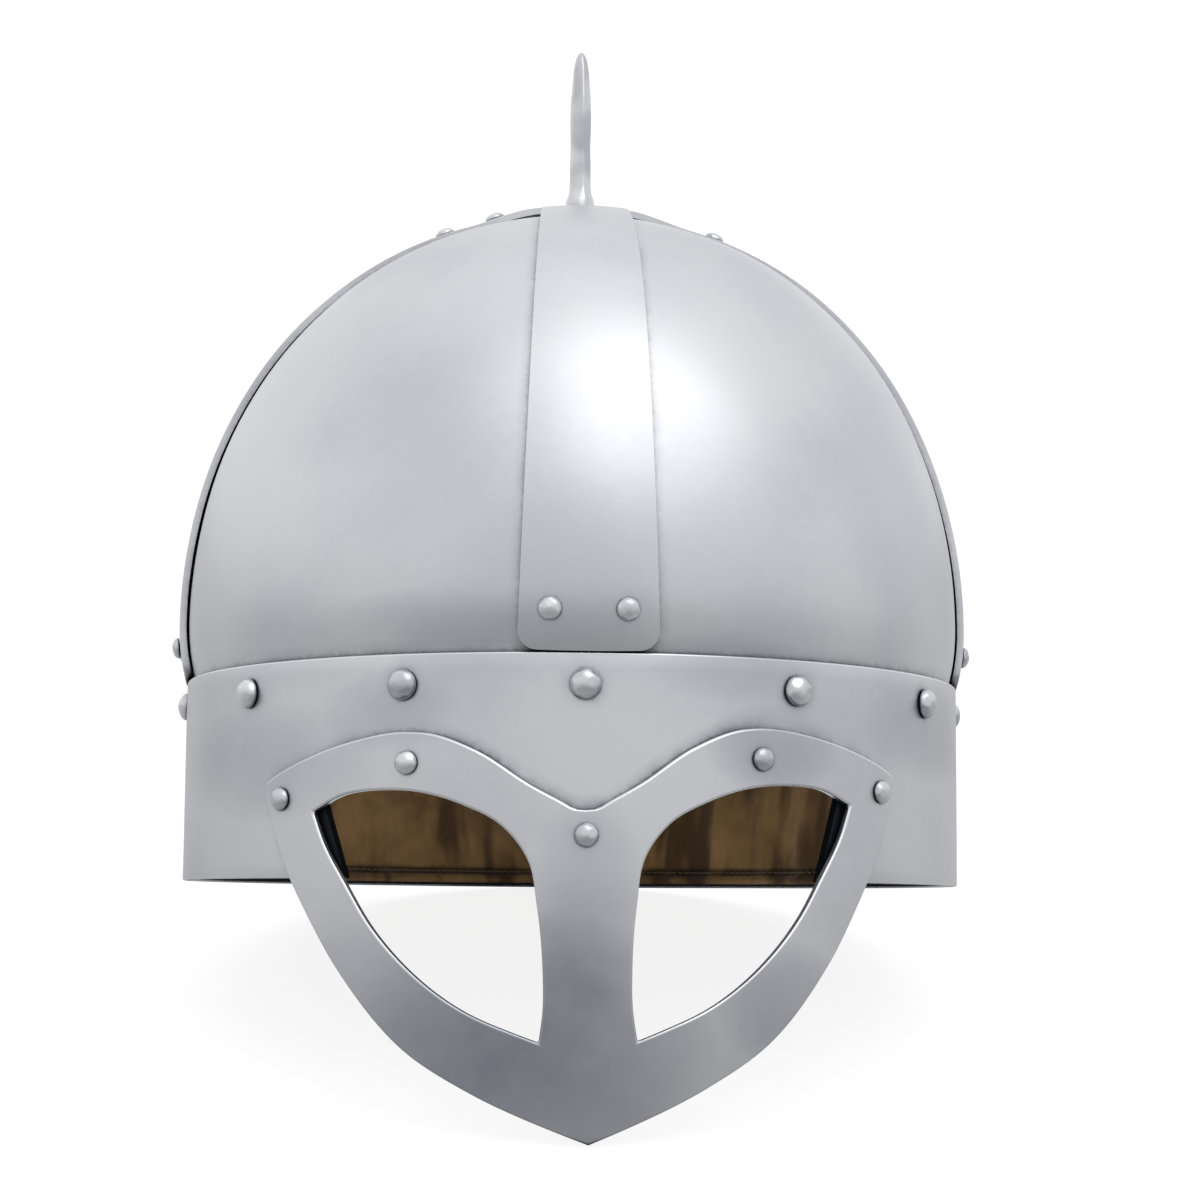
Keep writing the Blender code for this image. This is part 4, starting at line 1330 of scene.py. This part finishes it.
def stand_on(point, normal):
    """Placement in the upright helmet with its Z along the normal and its X level, in millimetres."""
    up = Vector(normal).normalized()
    level = Vector((0.0, 0.0, 1.0)).cross(up)
    level = level.normalized() if level.length > 0.05 else Vector((1.0, 0.0, 0.0))
    turn = Matrix((level, up.cross(level), up)).transposed().to_4x4()
    return Matrix.Translation(Vector(point)) @ turn


def turned(profile, sides):
    """Points and faces turned about Z from (radius, height) rows, top to bottom. A radius of 0 is a point."""
    points, rings = [], []
    for radius, height in profile:
        if radius == 0:
            rings.append([len(points)])
            points.append((0.0, 0.0, height))
            continue
        rings.append(list(range(len(points), len(points) + sides)))
        for step in range(sides):
            turn = 2 * math.pi * step / sides
            points.append((radius * math.cos(turn), radius * math.sin(turn), height))
    faces = []
    for upper, lower in zip(rings, rings[1:]):
        for step in range(sides):
            after = (step + 1) % sides
            if len(upper) == 1:
                faces.append((upper[0], lower[step], lower[after]))
            elif len(lower) == 1:
                faces.append((upper[after], upper[step], lower[0]))
            else:
                faces.append((upper[after], upper[step], lower[step], lower[after]))
    return np.array(points), faces


def hammered(points, above, reach, blows, seed):
    """Flattens the part above a height with light hammer blows, each a plane that cuts the swell."""
    centre = np.array([0.0, 0.0, above])
    golden = math.pi * (3 - math.sqrt(5))
    for blow in range(blows):
        share = (blow + 0.5) / blows
        tilt = math.acos(1 - BLOW_SPREAD * share)
        turn = golden * blow + seed * BLOW_TURN
        aim = np.array([math.sin(tilt) * math.cos(turn), math.sin(tilt) * math.sin(turn), math.cos(tilt)])
        from_centre = (points - centre) @ aim
        uneven = math.sin(seed * BLOW_PHASES[0] + blow * BLOW_PHASES[1])
        limit = reach(aim) * (BLOW_LIMIT + BLOW_LIMIT_SWING * uneven)
        over = np.maximum(from_centre - limit, 0.0) * (points[:, 2] > above + BLOW_CLEARANCE)
        points = points - over[:, None] * aim * BLOW_FORCE
    return points


def place_turned(name, node, points, faces, place, material, sharp_deg):
    placed = np.array([place @ Vector(point) for point in points])
    piece = add_piece(name, placed, faces, material, sharp_deg)
    stand_for(piece, node)


def make_rivet(node, point, normal, size, grip, seed, material):
    """Domed head with hammer marks, shank, and peened tail inside."""
    head, height, shank = size["head"], size["height"], size["shank"]
    base = FIT_GAP - HEAD_SETTLE
    tail = -grip - TAIL_GAP
    rim = HEAD_EDGE_SHARE * height
    profile = [(0.0, base + height)]
    for turn in np.radians(np.linspace(8, 90, 12)):
        swell = math.sin(turn) ** HEAD_FULLNESS
        profile.append((head * swell, base + rim + (height - rim) * math.cos(turn)))
    profile += [(head * wide, base + rim * high) for wide, high in HEAD_EDGE]
    profile += [(shank, base), (shank, tail)]
    profile += [(shank * TAIL_SPREAD * wide, tail - TAIL_HEIGHT * deep) for wide, deep in TAIL_PROFILE]
    points, faces = turned(profile, RIVET_SIDES)

    def reach(aim):
        return math.hypot(head * math.hypot(aim[0], aim[1]), (height - rim) * aim[2])

    points = hammered(points, base + rim, reach, BLOWS, seed)
    points[:, 2] += hand_wave(points, RIVET_WAVE, seed) * (points[:, 2] > base + rim)
    place = stand_on(point, normal)
    name = node + "_forged"
    place_turned(name, node, points, faces, place, material, RIVET_SHARP_DEG)


def make_spike(crown, material):
    tang_foot = -(2 * STRAP_WALL + 2 * FIT_GAP + STRAP_SEAT)
    side = [(share * SPIKE_WIDTH / 2, rise * SPIKE_HEIGHT) for share, rise in SPIKE_PROFILE]
    rising = curve_through(side, 60)
    rows = [(0.0, SPIKE_HEIGHT)]
    rows += [(float(radius), float(height)) for radius, height in rising[::-1]]
    rows += [(SPIKE_FOOT_WIDTH / 2 - cut, height) for cut, height in SPIKE_COLLAR]
    rows += [(SPIKE_SHANK_RADIUS, SPIKE_COLLAR[-1][1]), (SPIKE_SHANK_RADIUS, tang_foot)]
    rows += [(SPIKE_SHANK_RADIUS * wide, tang_foot - drop) for wide, drop in SPIKE_TANG]
    points, faces = turned(rows, SPIKE_SIDES)
    angle = np.arctan2(points[:, 1], points[:, 0])
    facet = 2 * math.pi / SPIKE_FLATS
    within = (angle + math.radians(SPIKE_TURN_DEG)) % facet - facet / 2
    flattened = math.cos(facet / 2) / np.cos(within)
    forged = smooth_step((points[:, 2] - SPIKE_FLATS_START) / SPIKE_FLATS_REACH) * SPIKE_FLATNESS
    shrink = 1 + (flattened / flattened.mean() - 1) * forged
    dents = 1 + hand_wave(points, SPIKE_WAVE) * forged
    points[:, 0] *= shrink * dents
    points[:, 1] *= shrink * dents
    place = stand_on(crown, (0, 0, 1))
    place_turned("spike_forged", "spike", points, faces, place, material, SPIKE_SHARP_DEG)


# Where the rivets go


def band_normal(angle):
    return np.array([BAND_HALF_LENGTH * math.sin(angle), -BAND_HALF_WIDTH * math.cos(angle), 0.0])


def on_strap(course, along, sideways):
    """A point on a strap's outer face, the face's normal there, and the rivet's grip down to the plate."""
    step = 0.5
    before, here, after = [
        course.lay(np.array(at), sideways, STRAP_SEAT + STRAP_WALL + crossing_lift(at))
        for at in (along - step, along, along + step)
    ]
    flat_normal = course.on_skull(along, sideways)[1]
    across = np.cross(flat_normal, after - before)
    normal = np.cross(after - before, across)
    normal /= np.linalg.norm(normal)
    lean = np.linalg.norm(np.cross(normal, flat_normal)) * SMALL_RIVET["shank"] * TAIL_SPREAD
    return here, normal, STRAP_SEAT + STRAP_WALL + PLATE_WALL + float(crossing_lift(along)) + lean


def rivet_places(crest, side):
    """(node, point, normal, sizes, grip) of every rivet."""
    places = []
    for name, degrees, drop in BAND_RIVETS:
        angle = math.radians(degrees)
        point = on_oval(angle, 0.0, BAND_HEIGHT - drop)
        grip = LEATHER_WALL - LINING_OUTER
        places.append(("band_rivet_" + name, point, band_normal(angle), BAND_RIVET, grip))
    for course, ends in ((crest, ("front", "back")), (side, ("right", "left"))):
        along = course.half - STRAP_RIVET_RISE
        for end, direction in zip(ends, (-1, 1)):
            for hand, sideways in (("a", -STRAP_RIVET_SPREAD / 2), ("b", STRAP_RIVET_SPREAD / 2)):
                point, normal, grip = on_strap(course, direction * along, sideways)
                places.append(("strap_rivet_" + end + "_" + hand, point, normal, SMALL_RIVET, grip))
    for name, along, across in CROWN_RIVETS:
        point, normal, grip = on_strap(side, along, across)
        places.append(("crown_rivet_" + name, point, normal, SMALL_RIVET, grip))
    for name, span, height in GUARD_RIVETS:
        flat = canted(np.array(guard_sizes([(span, height)])[0]))
        point = beside_band(flat, guard_offset(flat[1], GUARD_WALL))
        angle = math.atan2(point[0] / BAND_HALF_WIDTH, -point[1] / BAND_HALF_LENGTH)
        grip = GUARD_WALL + FIT_GAP + BAND_WALL
        places.append(("guard_rivet_" + name, point, band_normal(angle), SMALL_RIVET, grip))
    return places


# Stage: camera, floor and lights


def make_camera():
    """The photograph's camera, carried round with the helmet as it is laid down."""
    turn = (
        Matrix.Rotation(math.radians(CAMERA_PAN_DEG), 4, "Z")
        @ Matrix.Rotation(math.radians(CAMERA_PITCH_DEG), 4, "X")
        @ Matrix.Rotation(math.radians(CAMERA_ROLL_DEG), 4, "Y")
    )
    right, forward, up = (turn.to_3x3().col[index] for index in range(3))
    looking = Matrix((right, up, -forward)).transposed().to_4x4()
    place = Matrix.Translation(Vector((0.0, -CAMERA_DISTANCE, CAMERA_HEIGHT)) * MM) @ looking
    upright_to_rest = AT_REST @ Matrix.Scale(1 / MM, 4)
    camera = bpy.data.objects.new("camera", bpy.data.cameras.new("camera"))
    camera.data.sensor_width = CAMERA_SENSOR
    camera.data.lens = CAMERA_LENS
    camera.data.clip_start = CAMERA_NEAR
    camera.matrix_world = upright_to_rest @ Matrix.Rotation(math.radians(-HELMET_YAW_DEG), 4, "Z") @ place
    bpy.context.scene.collection.objects.link(camera)
    bpy.context.scene.camera = camera


def make_floor():
    mesh = bpy.data.meshes.new("floor")
    corners = [(x * FLOOR_HALF, y * FLOOR_HALF, 0) for x, y in ((-1, -1), (1, -1), (1, 1), (-1, 1))]
    mesh.from_pydata(corners, [], [(0, 1, 2, 3)])
    material, tree, shader = new_material("pale_floor")
    place = add_node(tree, "ShaderNodeSeparateXYZ")
    link(tree, object_place(tree), place.inputs[0])
    seen = add_node(tree, "ShaderNodeLightPath").outputs["Is Camera Ray"]
    unseen = less(tree, 1.0, seen)
    behind = ramp_between(tree, place.outputs["Y"], *FLOOR_BEHIND)
    beside = ramp_between(tree, math_node(tree, "ABSOLUTE", place.outputs["X"], 0.0), *FLOOR_BESIDE)
    away = math_node(tree, "MAXIMUM", behind, beside)
    more = times(tree, away, FLOOR_MIRRORED_BACK - FLOOR_MIRRORED_FRONT)
    mirrored = times(tree, unseen, plus(tree, more, FLOOR_MIRRORED_FRONT))
    tone = plus(tree, times(tree, seen, FLOOR_TONE), mirrored)
    link(tree, tone, shader.inputs["Base Color"])
    shader.inputs["Roughness"].default_value = FLOOR_ROUGHNESS
    shader.inputs["Specular IOR Level"].default_value = 0.0
    shader.inputs["Emission Color"].default_value = (1.0, 1.0, 1.0, 1.0)
    reach = length_of(tree, place.outputs["X"], place.outputs["Y"])
    under = ramp_between(tree, reach, LIGHT_TABLE_RADIUS, LIGHT_TABLE_RADIUS * LIGHT_TABLE_CORE)
    table = times(tree, times(tree, under, unseen), LIGHT_TABLE_GLOW)
    glow = plus(tree, times(tree, seen, FLOOR_GLOW), table)
    link(tree, glow, shader.inputs["Emission Strength"])
    mesh.materials.append(material)
    floor = bpy.data.objects.new("floor", mesh)
    bpy.context.scene.collection.objects.link(floor)


def sky_ramp(tree, sine, stops):
    """Brightness by the sine of the height, from a table of stops."""
    curve = add_node(tree, "ShaderNodeFloatCurve")
    points = curve.mapping.curves[0].points
    while len(points) < len(stops):
        points.new(0.5, 0.5)
    for point, (place, bright) in zip(points, stops):
        point.location = ((place + 1) / 2, bright / 2)
    curve.mapping.update()
    link(tree, times(tree, plus(tree, sine, 1.0), 0.5), curve.inputs["Value"])
    return times(tree, curve.outputs["Value"], 2.0)


def make_light():
    """White to the camera. The steel mirrors a soft studio: bright above, dark low in front."""
    world = bpy.data.worlds.new("studio")
    world.use_nodes = True
    tree = world.node_tree
    background = tree.nodes["Background"]
    looking = add_node(tree, "ShaderNodeTexCoord").outputs["Generated"]
    turn = AT_REST.to_3x3().normalized()
    sine = dot_node(tree, looking, turn @ Vector((0.0, 0.0, 1.0)))
    to_front = dot_node(tree, looking, turn @ Vector((0.0, -1.0, 0.0)))
    ahead = ramp_between(tree, to_front, *FRONT_SKY_REACH)
    front, side = (sky_ramp(tree, sine, stops) for stops in (FRONT_SKY, SIDE_SKY))
    mixed = plus(tree, times(tree, front, ahead), times(tree, side, less(tree, 1.0, ahead)))
    seen = add_node(tree, "ShaderNodeLightPath").outputs["Is Camera Ray"]
    strength = math_node(tree, "MAXIMUM", mixed, times(tree, seen, SEEN_SKY))
    link(tree, strength, background.inputs["Strength"])
    background.inputs["Color"].default_value = SKY_COLOR
    bpy.context.scene.world = world

    data = bpy.data.lights.new("key_softbox", "AREA")
    data.shape = "DISK"
    data.size = KEY_SIZE
    data.energy = KEY_POWER
    light = bpy.data.objects.new("key_softbox", data)
    direction = (turn @ Vector(KEY_DIRECTION)).normalized()
    light.location = Vector(KEY_AIM) + direction * KEY_DISTANCE
    light.rotation_euler = direction.to_track_quat("Z", "Y").to_euler()
    bpy.context.scene.collection.objects.link(light)
    bpy.context.scene.view_settings.view_transform = "Standard"


def main():
    groups = {
        "satin": satin_group(),
        "grime_and_shade": grime_and_shade_group(),
        "residue_and_shade": residue_and_shade_group(),
        "patches": patches_group(),
    }
    steels = {name: steel_material(name, groups, *row) for name, row in STEELS.items()}
    sheet = (steels["satin_steel"], steels["worn_edge_highlight_steel"])

    crest = StrapCourse((0, -1, 0), (1, 0, 0), BAND_HALF_LENGTH)
    side = StrapCourse((1, 0, 0), (0, 1, 0), BAND_HALF_WIDTH)
    crown = side.lay(np.array(0.0), 0.0, STRAP_SEAT + STRAP_WALL + CROSSING_LIFT)
    make_brow_band((steels["band_steel"], steels["worn_edge_highlight_steel"]))
    make_guard(sheet)
    for quarter, place in enumerate(("front_right", "back_right", "back_left", "front_left")):
        make_plate("plate_" + place, quarter, sheet)
    make_strap("crest_strap", crest, False, sheet)
    make_strap("side_strap", side, True, sheet)
    make_spike(crown, (steels["forged_steel"],))
    for seed, (node, point, normal, size, grip) in enumerate(rivet_places(crest, side)):
        make_rivet(node, point, normal, size, grip, seed, (steels["hammered_steel"],))
    make_lining((suede_material(),))
    make_stitches((waxed_thread(),))

    make_camera()
    make_floor()
    make_light()


main()
